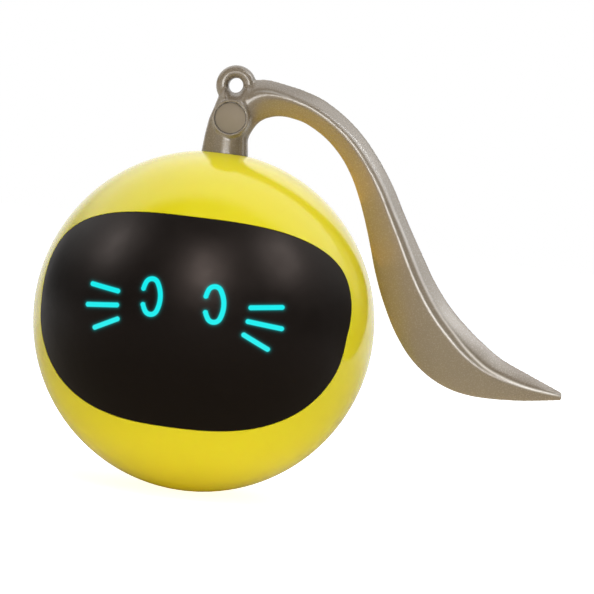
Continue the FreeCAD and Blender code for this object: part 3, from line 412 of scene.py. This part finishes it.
def lightMarks(tree, shader, look):
    # the guides shine evenly, with a darker rim where they meet the mask
    away = calc(tree, "DIVIDE", markDistance(tree, look), look["halfStroke"])
    inner = ramp(tree, away, look["evenReach"], look["rimReach"], 1.0, 0.0, "SMOOTHSTEP")
    color = blend(tree, inner, tone(*look["rim"]), tone(*look["light"]))
    tree.links.new(color, shader.inputs["Emission Color"])
    shader.inputs["Emission Strength"].default_value = look["strength"]


def smokedWindow(tree, shader, look):
    # smoked plastic with a painted glow: emission round each mark that fades with the distance from its edge,
    # standing in for the mark's light spreading in the window
    past = calc(tree, "MAXIMUM", minus(tree, markDistance(tree, look), look["halfStroke"]), 0.0)
    paintedGlow = calc(tree, "EXPONENT", times(tree, past, -1 / look["paintedGlowReach"]))
    tree.links.new(blend(tree, paintedGlow, (0, 0, 0, 1), tone(*look["paintedGlow"])), shader.inputs["Emission Color"])
    shader.inputs["Emission Strength"].default_value = look["paintedGlowStrength"]


ridgeHighlightLook = {
    # the colour of the painted highlights on the ridge's two lines, and of the painted shade in a band beside them
    "light": (248, 242, 236), "lowShare": 0.30, "highShare": 0.82, "reach": 0.26,
    "paintedShade": (126, 114, 97), "paintedShadeShare": 0.35, "paintedShadeReach": 0.62,
    # where along the tail each line starts, is full, begins to fade and ends
    "lowRun": (1.6, 3.0, 16.8, 18.4), "highRun": (6.0, 8.0, 19.6, 20.2),
}


def ridgeHighlightPaint(tree, shader, look):
    # moulded rubber with painted highlights along the two lines of the tail's ridge and a band of painted shade
    # beside them
    data = addNode(tree, "ShaderNodeAttribute", attribute_name="ridge").outputs["Vector"]
    low, high, along = addNode(tree, "ShaderNodeSeparateXYZ", {0: data}).outputs

    def line(away, reach, run):
        start, full, fade, end = run
        present = times(tree, ramp(tree, along, start, full), ramp(tree, along, end, fade))
        return times(tree, bell(tree, away, reach), present)

    def tint(below, mask, share, color):
        return blend(tree, times(tree, mask, share), below, tone(*color))

    color = shader.inputs["Base Color"].links[0].from_socket
    # where the painted shade lies, in a band beside both lines
    wide = calc(tree, "MAXIMUM", line(low, look["paintedShadeReach"], look["lowRun"]),
                line(high, look["paintedShadeReach"], look["highRun"]))
    color = tint(color, wide, look["paintedShadeShare"], look["paintedShade"])
    # the painted highlights along the ridge's two lines
    color = tint(color, line(low, look["reach"], look["lowRun"]), look["lowShare"], look["light"])
    color = tint(color, line(high, look["reach"], look["highRun"]), look["highShare"], look["light"])
    tree.links.new(color, shader.inputs["Base Color"])


# what some finishes carry besides
extras = {"tail_rubber": (ridgeHighlightPaint, ridgeHighlightLook), "light_mark": (lightMarks, faceMarks),
          "dark_window": (smokedWindow, faceMarks)}
materials = {}
for name, look in finishes.items():
    materials[name], tree, shader = finishMaterial(name, look)
    if name in extras:
        paint, paintLook = extras[name]
        paint(tree, shader, paintLook)
for part in frame["record"]["subparts"]:
    for place in frame["nodes"][part["node"]].material_slots:
        place.material = materials[part["material_slot"]]
print("materials made:", len(materials))


def rowPoint(x, y, z):
    # mm from the ball's centre to metres in the row frame
    return ballCentre + Vector((x, y, z)) * mm


def meshFrom(bm, name):
    mesh = bpy.data.meshes.new(name)
    bm.to_mesh(mesh)
    bm.free()
    return newPiece(name, mesh)


def ringStack(name, rings, closed=False):
    # rings of equally many points joined into a skin, capped at both ends unless it is closed
    count = len(rings[0])
    bm = bmesh.new()
    rows = [[bm.verts.new(p) for p in ring] for ring in rings]
    for low, high in zip(rows, rows[1:] + (rows[:1] if closed else [])):
        for i in range(count):
            bm.faces.new((low[i], low[(i + 1) % count], high[(i + 1) % count], high[i]))
    if not closed:
        bm.faces.new(rows[0][::-1])
        bm.faces.new(rows[-1])
    bmesh.ops.recalc_face_normals(bm, faces=bm.faces)
    return meshFrom(bm, name)


def turnedAboutY(name, x, z, profile, closed=False, count=72):
    # a profile of (radius, y) turned about the axis through x and z
    rings = [[rowPoint(x + radius * math.cos(a), y, z + radius * math.sin(a)) for a in angles(count)]
             for radius, y in profile]
    return ringStack(name, rings, closed)


def levelRing(x, z, radius, count=72):
    return [rowPoint(x + radius * math.cos(a), radius * math.sin(a), z) for a in angles(count)]


def bakeModifier(piece, modifier):
    # the modifier's result becomes the piece's own mesh
    graph = bpy.context.evaluated_depsgraph_get()
    mesh = bpy.data.meshes.new_from_object(piece.evaluated_get(graph))
    piece.modifiers.remove(modifier)
    old, piece.data = piece.data, mesh
    bpy.data.meshes.remove(old)


def applied(piece, kind, **settings):
    modifier = piece.modifiers.new(kind.lower(), kind)
    for key, value in settings.items():
        setattr(modifier, key, value)
    bakeModifier(piece, modifier)


def carve(piece, cutters, operation="DIFFERENCE"):
    for cutter in cutters:
        applied(piece, "BOOLEAN", object=cutter, operation=operation, solver="EXACT")
        bpy.data.objects.remove(cutter)


def join(name, parts):
    bm = bmesh.new()
    for part in parts:
        bm.from_mesh(part.data)
        bpy.data.objects.remove(part)
    return meshFrom(bm, name)


def smoothed(piece, sharpAngle):
    piece.data.shade_smooth()
    piece.data.set_sharp_from_angle(angle=math.radians(sharpAngle))


def cadCopy(node, name, merge=0.001, drop=0.0005):
    # a node's loose triangles as one merged skin that may be worked on; distances in mm
    bm = bmesh.new()
    bm.from_mesh(frame["nodes"][node].data)
    bmesh.ops.remove_doubles(bm, verts=bm.verts, dist=merge * mm)
    bmesh.ops.dissolve_degenerate(bm, edges=bm.edges, dist=drop * mm)
    return meshFrom(bm, name)


def onBall(points, reach=0.03):
    # within this many mm of the ball's outer surface
    return all(abs((p - ballCentre).length - ballRadius) < reach * mm for p in points)


def closedRuns(edges):
    # the edges in closed runs; a dict keeps the mesh's order, so that each run starts at the same edge
    at = {}
    for edge in edges:
        for v in edge.verts:
            at.setdefault(v, []).append(edge)
    runs, left = [], dict.fromkeys(edges)
    while left:
        edge = next(iter(left))
        first = v = edge.verts[0]
        run = []
        while edge is not None:
            del left[edge]
            run.append(edge)
            v = edge.other_vert(v)
            edge = next((e for e in at[v] if e in left), None) if v != first else None
        runs.append(run)
    return runs


def rimRuns(piece):
    # each edge of the piece's outer ball surface: a closed run of (point, along the surface, down the wall)
    bm = bmesh.new()
    bm.from_mesh(piece.data)
    outer = {f for f in bm.faces if onBall([v.co for v in f.verts])}
    rim = [e for e in bm.edges if sum(f in outer for f in e.link_faces) == 1 and len(e.link_faces) == 2]
    runs = []
    for run in closedRuns(rim):
        rows = []
        for edge, nextEdge in zip(run, run[1:] + run[:1]):
            shared = [v for v in edge.verts if v in nextEdge.verts]
            along = [Vector(), Vector()]
            for e in (edge, nextEdge):
                way = (e.verts[1].co - e.verts[0].co).normalized()
                for face in e.link_faces:
                    inward = face.normal.cross(way)
                    inward *= 1 if inward.dot(face.calc_center_median() - e.verts[0].co) > 0 else -1
                    along[0 if face in outer else 1] += inward
            rows.append((shared[0].co.copy(), along[0].normalized(), along[1].normalized()))
        runs.append(rows)
    bm.free()
    return sorted(runs, key=len, reverse=True)


# how a rim is rounded: steps along it, and by how much the cutter laps over and stands clear, in mm
rimCut = {"step": 0.35, "least": 36, "smoothFrom": 0.7, "lap": 0.004, "clear": 0.05, "over": 0.08}


def throughFour(a, b, c, d, share):
    # a smooth curve from b to c that takes its bend from a and d (Catmull-Rom)
    return 0.5 * (2 * b + (c - a) * share + (2 * a - 5 * b + 4 * c - d) * share ** 2
                  + (3 * b - a - 3 * c + d) * share ** 3)


def evenRun(rows, look):
    # the run at equal steps, so that its cutter has no slivers
    count = len(rows)
    steps = [(rows[(i + 1) % count][0] - rows[i][0]).length for i in range(count)]
    total = sum(steps)
    wanted = max(look["least"], round(total / (look["step"] * mm)))
    even, i, walked = [], 0, 0.0
    for k in range(wanted):
        goal = total * k / wanted
        while walked + steps[i] < goal:
            walked += steps[i]
            i += 1
        share = (goal - walked) / steps[i]
        near, far = rows[i], rows[(i + 1) % count]
        before, after = rows[i - 1][0], rows[(i + 2) % count][0]
        # the chord at a corner of the edge, a smooth curve elsewhere
        point = near[0].lerp(far[0], share)
        if (near[0] - before).normalized().dot((after - far[0]).normalized()) > look["smoothFrom"]:
            point = throughFour(before, near[0], far[0], after, share)
        even.append((point, *(near[k].lerp(far[k], share).normalized() for k in (1, 2))))
    return even


def rimCutter(run, radius, look):
    # what the rounding takes off
    lap, clear, over = (look[k] for k in ("lap", "clear", "over"))
    rings = []
    for point, surface, wall in run:
        up = (point - ballCentre).normalized()
        a = point + surface * radius + up * lap * mm
        b = point + wall * radius - surface * lap * mm
        arc = [a.lerp(point, s).lerp(point.lerp(b, s), s) for s in (0.0, 0.25, 0.5, 0.75, 1.0)]
        out = -(surface + wall).normalized() * radius
        rings.append(arc + [b - surface * clear * mm, point + out * 0.5 + up * clear * mm, a + up * over * mm])
    return ringStack("rim", rings, closed=True)


def roundRims(piece, radius, runs):
    # so many of the longest rims, or all of them where runs is None
    for rows in rimRuns(piece)[:runs]:
        carve(piece, [rimCutter(evenRun(rows, rimCut), radius * mm, rimCut)])


def ballNormals(piece, sharpAngle):
    # the outer surface shades as a true ball, whatever its triangles
    smoothed(piece, sharpAngle)
    mesh = piece.data
    normals = [Vector(n.vector) for n in mesh.corner_normals]
    for face in mesh.polygons:
        if onBall([mesh.vertices[i].co for i in face.vertices]):
            for corner in face.loop_indices:
                normals[corner] = (mesh.vertices[mesh.loops[corner].vertex_index].co - ballCentre).normalized()
    mesh.normals_split_custom_set(normals)


def dress(piece, body, node, slot):
    piece.data.materials.clear()
    piece.data.materials.append(materials[slot])
    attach(piece, body)
    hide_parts(node)
    print(piece.name, "made:", len(piece.data.polygons), "faces")


def newSetup(name, sockets):
    # a Geometry Nodes tree with named inputs
    tree = bpy.data.node_groups.new(name, "GeometryNodeTree")
    tree.interface.new_socket("Geometry", in_out="OUTPUT", socket_type="NodeSocketGeometry")
    for label, kind in sockets.items():
        tree.interface.new_socket(label, in_out="INPUT", socket_type="NodeSocket" + kind)
    return tree, tree.nodes.new("NodeGroupInput").outputs


def closeSetup(tree, geometry, material):
    real = addNode(tree, "GeometryNodeRealizeInstances", {0: geometry})
    painted = addNode(tree, "GeometryNodeSetMaterial", {0: real.outputs[0], "Material": material})
    addNode(tree, "NodeGroupOutput", {0: painted.outputs[0]})


def runSetup(tree, name, values):
    # the tree's result as a plain mesh object
    carrier = newPiece(name, bpy.data.meshes.new(name))
    modifier = carrier.modifiers.new("setup", "NODES")
    modifier.node_group = tree
    for item in tree.interface.items_tree:
        if item.in_out == "INPUT":
            modifier[item.identifier] = values[item.name]
    bakeModifier(carrier, modifier)
    return carrier


tailShape = {
    # edges seen from the front, in mm from the ball's centre
    "back": [(1.0, 50.0), (2.6, 52.4), (5.0, 54.0), (8.2, 54.3), (11.9, 53.75), (16.2, 52.85), (20.67, 51.3),
             (25.8, 48.2), (30.38, 44.23), (34.5, 39.35), (38.0, 34.2), (40.9, 29.0), (43.54, 24.48),
             (46.4, 19.8), (49.57, 14.77), (53.3, 10.1), (57.65, 5.98), (61.6, 2.9), (65.89, 0.07),
             (72.6, -2.75), (79.7, -5.6)],
    "belly": [(4.6, 40.0), (5.48, 42.6), (7.0, 44.9), (9.3, 46.2), (11.84, 46.7), (14.83, 46.35),
              (17.51, 45.55), (21.67, 43.15), (25.44, 39.67), (28.4, 35.5), (30.7, 30.82), (32.6, 26.0),
              (34.18, 21.39), (36.1, 15.4), (38.65, 9.17), (42.2, 2.6), (46.86, -3.12), (52.9, -7.1),
              (59.95, -8.89), (70.0, -8.7), (79.8, -7.35)],
    # at each pair: thickness in mm, the ridge's place across the width, and how rounded the ridge is
    "thick": [9.6, 9.4, 9.0, 8.6, 8.2, 7.6, 7.1, 6.8, 6.7, 6.8, 7.0, 7.3, 7.6, 7.9, 8.2, 8.3, 8.2, 7.7, 6.5,
              4.2, 1.6],
    "ridge": [0.32, 0.32, 0.32, 0.33, 0.36, 0.40, 0.42, 0.40, 0.36, 0.33, 0.30, 0.28, 0.265, 0.26, 0.255,
              0.255, 0.265, 0.305, 0.345, 0.43, 0.44],
    "soft": [1.2, 1.2, 1.2, 1.0, 0.8, 0.65, 0.55, 0.5, 0.5, 0.5, 0.5, 0.5, 0.5, 0.5, 0.5, 0.5, 0.5, 0.5, 0.5,
             0.45, 0.4],
    # how deep the groove along the ridge is, as a share of grooveDepth; width and depth in mm
    "groove": [0, 0, 0, 0, 0, 0, 0.1, 0.4, 0.8, 1, 1, 1, 1, 1, 1, 1, 1, 0.9, 0.6, 0.2, 0],
    "grooveWidth": 0.42, "grooveDepth": 0.26,
    # half the distance between the ridge's two lines
    "lineGap": [0, 0, 0, 0, 0.1, 0.25, 0.35, 0.4, 0.42, 0.45, 0.5, 0.57, 0.66, 0.7, 0.72, 0.72, 0.68, 0.52, 0.2,
                0, 0],
    "pointsPerRun": 14, "around": 160, "backPower": 0.92, "bellyPower": 0.54,
    "root": [(0.1, 36.85, 5.2), (0.05, 39.0, 4.98), (0.0, 41.0, 4.76), (0.15, 42.5, 4.7), (0.5, 44.5, 4.75),
             (1.1, 46.7, 4.65), (1.7, 49.2, 4.55), (2.0, 51.0, 4.15), (2.1, 52.0, 3.0)],
    "ringAt": (0.8, 52.3), "ringHole": 1.66, "ringInner": 1.35, "ringOuter": 4.45, "ringHalf": 2.1,
    "ringLand": 1.5, "ringReach": 6.0, "dishStep": 0.25, "dishSlope": 0.80,
    "flareRadius": 2.0, "flareFrom": 1.1, "flareTo": 1.62,
    "plugAt": (1.0, 44.9), "bossRadius": 4.15, "bossHalf": 4.9, "plugRadius": 3.5, "plugFloor": 3.45,
    "seatReach": 9.0, "lipRadius": 3.76, "lipThickness": 0.17, "lipSunk": 0.04, "pinRadius": 1.33,
    "pegRadius": 2.93, "pegLow": 35.0, "pegTop": 47.45, "footCut": (9.0, 30.0),
    "voxel": 0.22, "smoothSteps": 6, "fillet": (6.6, 43.6, 5.2), "filletSteps": 60, "ridgeSteps": 16,
    "sharpAngle": 50,
}


def pathCurve(name, points, widths=None):
    data = bpy.data.curves.new(name, "CURVE")
    data.dimensions = "3D"
    spline = data.splines.new("POLY")
    spline.points.add(len(points) - 1)
    for i, point in enumerate(points):
        spline.points[i].co = point.to_4d()
        spline.points[i].radius = widths[i] / 2 * mm if widths else 1.0
    return newPiece(name, data)


def bladeSetup():
    # a closed section between two edge curves: flat towards the back edge, full towards the belly
    tree, given = newSetup("tailBlade", {"Back Edge": "Object", "Belly Edge": "Object", "Ridge Line": "Object",
                                         "Points Per Run": "Int", "Stations": "Int", "Around": "Int",
                                         "Back Power": "Float", "Belly Power": "Float",
                                         "Groove Width": "Float", "Groove Depth": "Float",
                                         "Material": "Material"})
    grid = addNode(tree, "GeometryNodeMeshGrid", {"Size X": 1.0, "Size Y": 1.0,
                                                  "Vertices X": given["Stations"], "Vertices Y": given["Around"]})
    spot = addNode(tree, "ShaderNodeSeparateXYZ", {0: addNode(tree, "GeometryNodeInputPosition").outputs[0]})
    last = minus(tree, given["Stations"], 1.0)
    station = calc(tree, "ROUND", times(tree, calc(tree, "ADD", spot.outputs["X"], 0.5), last))

    def sampled(edge, field, kind):
        info = addNode(tree, "GeometryNodeObjectInfo", {"Object": given[edge]}, transform_space="ORIGINAL")
        bent = addNode(tree, "GeometryNodeCurveSplineType", {0: info.outputs["Geometry"]},
                       spline_type="CATMULL_ROM")
        fine = addNode(tree, "GeometryNodeSetSplineResolution",
                       {0: bent.outputs[0], "Resolution": given["Points Per Run"]})
        dots = addNode(tree, "GeometryNodeCurveToPoints", {0: fine.outputs[0]}, mode="EVALUATED")
        value = addNode(tree, field).outputs[0]
        return addNode(tree, "GeometryNodeSampleIndex",
                       {"Geometry": dots.outputs[0], "Value": value, "Index": station},
                       data_type=kind, clamp=True).outputs[0]

    back = sampled("Back Edge", "GeometryNodeInputPosition", "FLOAT_VECTOR")
    belly = sampled("Belly Edge", "GeometryNodeInputPosition", "FLOAT_VECTOR")
    half = sampled("Back Edge", "GeometryNodeInputRadius", "FLOAT")
    ridge = addNode(tree, "ShaderNodeSeparateXYZ",
                    {0: sampled("Ridge Line", "GeometryNodeInputPosition", "FLOAT_VECTOR")}).outputs
    angle = times(tree, calc(tree, "ADD", spot.outputs["Y"], 0.5), 2 * math.pi)
    share = times(tree, minus(tree, 1.0, calc(tree, "COSINE", angle)), 0.5)
    fromBack = calc(tree, "DIVIDE", share, ridge["X"])
    fromBelly = calc(tree, "DIVIDE", minus(tree, 1.0, share), minus(tree, 1.0, ridge["X"]))
    height = calc(tree, "SMOOTH_MIN", calc(tree, "POWER", fromBack, given["Back Power"]),
                  calc(tree, "POWER", fromBelly, given["Belly Power"]), ridge["Y"])
    width = addNode(tree, "ShaderNodeVectorMath", {0: back, 1: belly}, operation="DISTANCE").outputs["Value"]
    offRidge = times(tree, minus(tree, share, ridge["X"]), width)
    dip = times(tree, bell(tree, offRidge, given["Groove Width"]), ridge["Z"])
    dip = times(tree, dip, given["Groove Depth"])
    side = calc(tree, "SIGN", calc(tree, "SINE", angle))
    depth = times(tree, minus(tree, times(tree, height, half), dip), side)
    middle = addNode(tree, "ShaderNodeMix", {0: share, 4: back, 5: belly}, data_type="VECTOR").outputs[1]
    offset = addNode(tree, "ShaderNodeCombineXYZ", {"Y": depth}).outputs[0]
    spread = addNode(tree, "ShaderNodeVectorMath", {0: middle, 1: offset}, operation="ADD").outputs[0]
    skin = addNode(tree, "GeometryNodeSetPosition", {0: grid.outputs[0], "Position": spread})
    whole = addNode(tree, "GeometryNodeMergeByDistance", {0: skin.outputs[0], "Distance": 0.00001})
    closeSetup(tree, whole.outputs[0], given["Material"])
    return tree


def tailBlade(shape):
    edges = [pathCurve(name, [rowPoint(x, 0, z) for x, z in shape[name]], shape["thick"])
             for name in ("back", "belly")]
    ridge = pathCurve("ridge", [Vector(row) for row in zip(shape["ridge"], shape["soft"], shape["groove"])])
    stations = (len(shape["back"]) - 1) * shape["pointsPerRun"] + 1
    blade = runSetup(bladeSetup(), "blade", {
        "Back Edge": edges[0], "Belly Edge": edges[1], "Ridge Line": ridge,
        "Points Per Run": shape["pointsPerRun"], "Stations": stations, "Around": shape["around"] + 1,
        "Back Power": shape["backPower"], "Belly Power": shape["bellyPower"],
        "Groove Width": shape["grooveWidth"] * mm, "Groove Depth": shape["grooveDepth"] * mm,
        "Material": materials["tail_rubber"]})
    for curve in edges + [ridge]:
        bpy.data.objects.remove(curve)
    bm = bmesh.new()
    bm.from_mesh(blade.data)
    bmesh.ops.holes_fill(bm, edges=[e for e in bm.edges if e.is_boundary])
    bmesh.ops.recalc_face_normals(bm, faces=bm.faces)
    bm.to_mesh(blade.data)
    bm.free()
    return blade


def softenFillet(piece, shape):
    # extra smoothing where the neck runs into the blade, full in the inner half of its reach
    x, z, reach = shape["fillet"]
    group = piece.vertex_groups.new(name="fillet")
    for v in piece.data.vertices:
        away = math.hypot(v.co.x / mm - x, (v.co.z - ballCentre.z) / mm - z)
        if away < reach:
            group.add([v.index], min(1.0, 2.0 * (1 - away / reach)), "REPLACE")
    applied(piece, "SMOOTH", factor=0.5, iterations=shape["filletSteps"], vertex_group=group.name)
    piece.vertex_groups.clear()


def between(rows, i, share):
    # a row of numbers on the smooth curve after row i
    four = (rows[min(max(i + k, 0), len(rows) - 1)] for k in (-1, 0, 1, 2))
    return [throughFour(*values, share) for values in zip(*four)]


def markRidge(mesh, shape):
    # at every point: the distances to the ridge's two lines in mm, and how far along the tail it is
    rows = [[b[0] + (l[0] - b[0]) * r, b[1] + (l[1] - b[1]) * r, gap]
            for b, l, r, gap in zip(shape["back"], shape["belly"], shape["ridge"], shape["lineGap"])]
    fine = shape["ridgeSteps"]
    samples = [between(rows, i // fine, i % fine / fine) + [i / fine] for i in range((len(rows) - 1) * fine + 1)]
    tree = KDTree(len(samples))
    for i, (x, z, gap, along) in enumerate(samples):
        tree.insert((x, z, 0), i)
    tree.balance()
    ridge = mesh.attributes.new("ridge", "FLOAT_VECTOR", "POINT")
    for v in mesh.vertices:
        x, z = v.co.x / mm, (v.co.z - ballCentre.z) / mm
        i = tree.find((x, z, 0))[1]
        x0, z0, gap, along = samples[i]
        x1, z1 = samples[max(i - 1, 0)][:2]
        x2, z2 = samples[min(i + 1, len(samples) - 1)][:2]
        long = math.hypot(x2 - x1, z2 - z1)
        ahead, aside = (x2 - x1) / long, (z2 - z1) / long
        away = (z - z0) * ahead - (x - x0) * aside
        ridge.data[v.index].vector = (away + gap, away - gap, along)


def waisted(narrow, wide, waist, reach):
    # the profile of a cutter that is straight within its waist and opens towards both ends
    return [(wide, -reach), (narrow, -waist), (narrow, waist), (wide, reach)]


def tailBody(shape):
    x, z = shape["ringAt"]
    hole, inner, outer, half = (shape[k] for k in ("ringHole", "ringInner", "ringOuter", "ringHalf"))
    land, reach, flareFrom = shape["ringLand"], shape["ringReach"], shape["flareFrom"]
    middle, width = (inner + outer) / 2, (outer - inner) / 2
    band = [(middle + width * math.cos(a), half * math.sin(a)) for a in angles(32)]
    dish = waisted(hole - shape["dishStep"], hole + (reach - land) * shape["dishSlope"], land, reach)
    slope = (shape["flareRadius"] - hole) / (shape["flareTo"] - flareFrom)
    flare = waisted(hole, hole + (reach - flareFrom) * slope, flareFrom, reach)
    boss = [(shape["bossRadius"], y) for y in (-shape["bossHalf"], shape["bossHalf"])]
    solid = join("tailSkin", [
        tailBlade(shape),
        ringStack("root", [levelRing(*row) for row in shape["root"]]),
        turnedAboutY("hangRing", x, z, band, closed=True),
        turnedAboutY("boss", *shape["plugAt"], boss),
    ])
    applied(solid, "REMESH", mode="VOXEL", voxel_size=shape["voxel"] * mm)
    carve(solid, [turnedAboutY("dish", x, z, dish)])
    applied(solid, "REMESH", mode="VOXEL", voxel_size=shape["voxel"] * mm)
    applied(solid, "SMOOTH", factor=0.5, iterations=shape["smoothSteps"])
    softenFillet(solid, shape)
    carve(solid, [turnedAboutY("flare", x, z, flare)])
    return solid


def seatPlug(solid, shape):
    # a fine lip round the plug on both sides, its two seats, and the holes for its pin and for the peg
    at, thick, plug, pin = (shape[k] for k in ("plugAt", "lipThickness", "plugRadius", "pinRadius"))
    face, floor, deep = shape["bossHalf"] - shape["lipSunk"], shape["plugFloor"], shape["seatReach"]
    lip = [(shape["lipRadius"] + thick * math.cos(a), thick * math.sin(a)) for a in angles(10)]
    carve(solid, [turnedAboutY("lip", *at, [(r, y + side * face) for r, y in lip], closed=True)
                  for side in (-1, 1)], "UNION")
    footRadius, footLow = shape["footCut"]
    carve(solid, [
        turnedAboutY("frontSeat", *at, [(plug, -deep), (plug, -floor)]),
        turnedAboutY("rearSeat", *at, [(plug, floor), (plug, deep)]),
        turnedAboutY("pinHole", *at, [(pin, -deep), (pin, deep)]),
        ringStack("pegHole", [levelRing(0, z, shape["pegRadius"]) for z in (shape["pegLow"], shape["pegTop"])]),
        ringStack("foot", [levelRing(0, z, footRadius, 24) for z in (footLow, shape["root"][0][1])]),
    ])


def makeTail(shape):
    solid = tailBody(shape)
    seatPlug(solid, shape)
    smoothed(solid, shape["sharpAngle"])
    dress(solid, "tail", "tail", "tail_rubber")
    for kind in ("tail", "tailSoft", "soft"):
        litBy[kind].objects.link(solid)
    litBy["soft"].collection_objects[0].light_linking.link_state = "EXCLUDE"
    markRidge(solid.data, shape)


makeTail(tailShape)


pinLook = {"shank": 1.3, "head": 3.4, "edge": 0.12, "floor": 3.45, "face": 4.66, "sharpAngle": 30}


def makePin(shape, look):
    # the round plug on the front of the neck with its pin, and the cap on the far side
    x, z = shape["plugAt"]
    head, edge, floor, face = (look[k] for k in ("head", "edge", "floor", "face"))
    # the head's edge is rounded in two steps
    rim = [(head, floor), (head, face - edge), (head - 0.3 * edge, face - 0.3 * edge), (head - edge, face)]
    pin = turnedAboutY("tailPin", x, z, [(look["shank"], floor), (look["shank"], -floor)]
                       + [(r, -y) for r, y in rim])
    cap = turnedAboutY("tailPinCap", x, z, rim)
    for piece, node in ((pin, "tail_pin"), (cap, "tail_pin_cap")):
        smoothed(piece, look["sharpAngle"])
        dress(piece, "tail", node, "tail_plug")


makePin(tailShape, pinLook)


outerLooks = {
    # the CAD's outer pieces: how far their rims are rounded, in mm, and how many of them, None for all;
    # a ball-shaped hollow by its place along X, the ball's radius and how deep it sinks in, in mm
    "frontShell": {"body": "ball", "node": "front_shell", "slot": "yellow_shell", "rim": 0.25, "runs": None},
    "rearShell": {"body": "ball", "node": "rear_shell", "slot": "yellow_shell", "rim": 0.25, "runs": None},
    "visorPane": {"body": "ball", "node": "visor", "slot": "dark_window", "rim": 0.22, "runs": 1},
    "powerButton": {"body": "power_button", "node": "power_button", "slot": "button_plastic", "rim": 0.3,
                    "runs": 1, "hollow": (0.0, 9.0, 0.32)},
    "portPlug": {"body": "port_plug", "node": "port_plug", "slot": "yellow_rubber", "rim": 0.3, "runs": 1,
                 "hollow": (5.0, 3.2, 0.55)},
}


def bowl(x, z, curve, depth):
    # a ball-shaped cutter that sinks into the back surface at x and z
    surface = math.sqrt((ballRadius / mm) ** 2 - x * x - z * z)
    steps = [math.pi * i / 24 for i in range(1, 24)]
    rows = [(curve * math.sin(a), surface - depth + curve - curve * math.cos(a)) for a in steps]
    return turnedAboutY("bowl", x, z, rows)


def makeOuter(name, look, sharpAngle=32):
    node = look["node"]
    piece = cadCopy(node, name)
    roundRims(piece, look["rim"], look["runs"])
    if "hollow" in look:
        x, curve, depth = look["hollow"]
        low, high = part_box(node)
        carve(piece, [bowl(x, (low.z + high.z) / 2 / mm - ballRadius / mm, curve, depth)])
    ballNormals(piece, sharpAngle)
    dress(piece, look["body"], node, look["slot"])
    return piece


outer = {name: makeOuter(name, look) for name, look in outerLooks.items()}
litBy["window"].objects.link(outer["visorPane"])


screwLook = {
    "ring": 32.5, "count": 4, "startAngle": 45.0, "seed": 4,
    "shank": 0.9, "tip": -7.0, "tipRadius": 0.25, "taper": 1.2,
    "seat": 4.0, "head": 1.7, "headEdge": 0.08, "headSide": 0.55, "headTop": 5.2, "dome": 0.7,
    "slotWidth": 0.42, "slotLength": 2.1, "slotDepth": 0.75, "slotTaper": 0.62, "slotOver": 0.2,
    "sharpAngle": 35,
}


def makeScrew(look):
    # one pan-head screw about Y with a cross recess
    tip, shank, seat, head, edge, top = (look[k] for k in ("tip", "shank", "seat", "head", "headEdge", "headTop"))
    side = seat + look["headSide"]
    outline = [(look["tipRadius"], tip), (shank, tip + look["taper"]), (shank, seat), (head - edge, seat),
               (head, seat + edge), (head, side)]
    outline += [(head * math.cos(a) ** look["dome"], side + (top - side) * math.sin(a))
                for a in (math.radians(d) for d in (15, 30, 45, 60, 75, 84))]
    screw = turnedAboutY("screw", 0, -ballRadius / mm, outline, count=40)
    wide, long = look["slotWidth"] / 2, look["slotLength"] / 2
    levels = ((top - look["slotDepth"], look["slotTaper"]), (top + look["slotOver"], 1.0))
    for a, b in ((wide, long), (long, wide)):
        rings = [[Vector((x * s, y, z * s)) * mm for x, z in ((-a, -b), (a, -b), (a, b), (-a, b))]
                 for y, s in levels]
        carve(screw, [ringStack("slot", rings)])
    return screw


def screwSetup():
    # the screw repeated on a ring about Y, each turned by its own amount
    tree, given = newSetup("screwRing", {"Screw": "Object", "Ring Radius": "Float", "Count": "Int",
                                         "Start Angle": "Float", "Centre": "Vector", "Seed": "Int",
                                         "Material": "Material"})
    circle = addNode(tree, "GeometryNodeMeshCircle", {"Vertices": given["Count"], "Radius": given["Ring Radius"]})
    spin = addNode(tree, "ShaderNodeCombineXYZ", {"Z": given["Start Angle"]}).outputs[0]
    spun = addNode(tree, "GeometryNodeTransform", {0: circle.outputs[0], "Rotation": spin})
    stood = addNode(tree, "GeometryNodeTransform", {0: spun.outputs[0], "Rotation": (math.pi / 2, 0, 0),
                                                    "Translation": given["Centre"]})
    info = addNode(tree, "GeometryNodeObjectInfo", {"Object": given["Screw"]}, transform_space="ORIGINAL")
    chance = addNode(tree, "FunctionNodeRandomValue", {"Min": 0.0, "Max": 2 * math.pi, "Seed": given["Seed"]},
                     data_type="FLOAT")
    drive = addNode(tree, "ShaderNodeCombineXYZ", {"Y": chance.outputs[1]}).outputs[0]
    placed = addNode(tree, "GeometryNodeInstanceOnPoints",
                     {"Points": stood.outputs[0], "Instance": info.outputs["Geometry"], "Rotation": drive})
    closeSetup(tree, placed.outputs[0], given["Material"])
    return tree


def makeScrews(look):
    screw = makeScrew(look)
    screws = runSetup(screwSetup(), "shellScrews", {
        "Screw": screw, "Ring Radius": look["ring"] * mm, "Count": look["count"],
        "Start Angle": math.radians(look["startAngle"]), "Centre": ballCentre, "Seed": look["seed"],
        "Material": materials["steel"]})
    bpy.data.objects.remove(screw)
    smoothed(screws, look["sharpAngle"])
    dress(screws, "ball", "shell_screws", "steel")


makeScrews(screwLook)


bpy.context.view_layer.update()
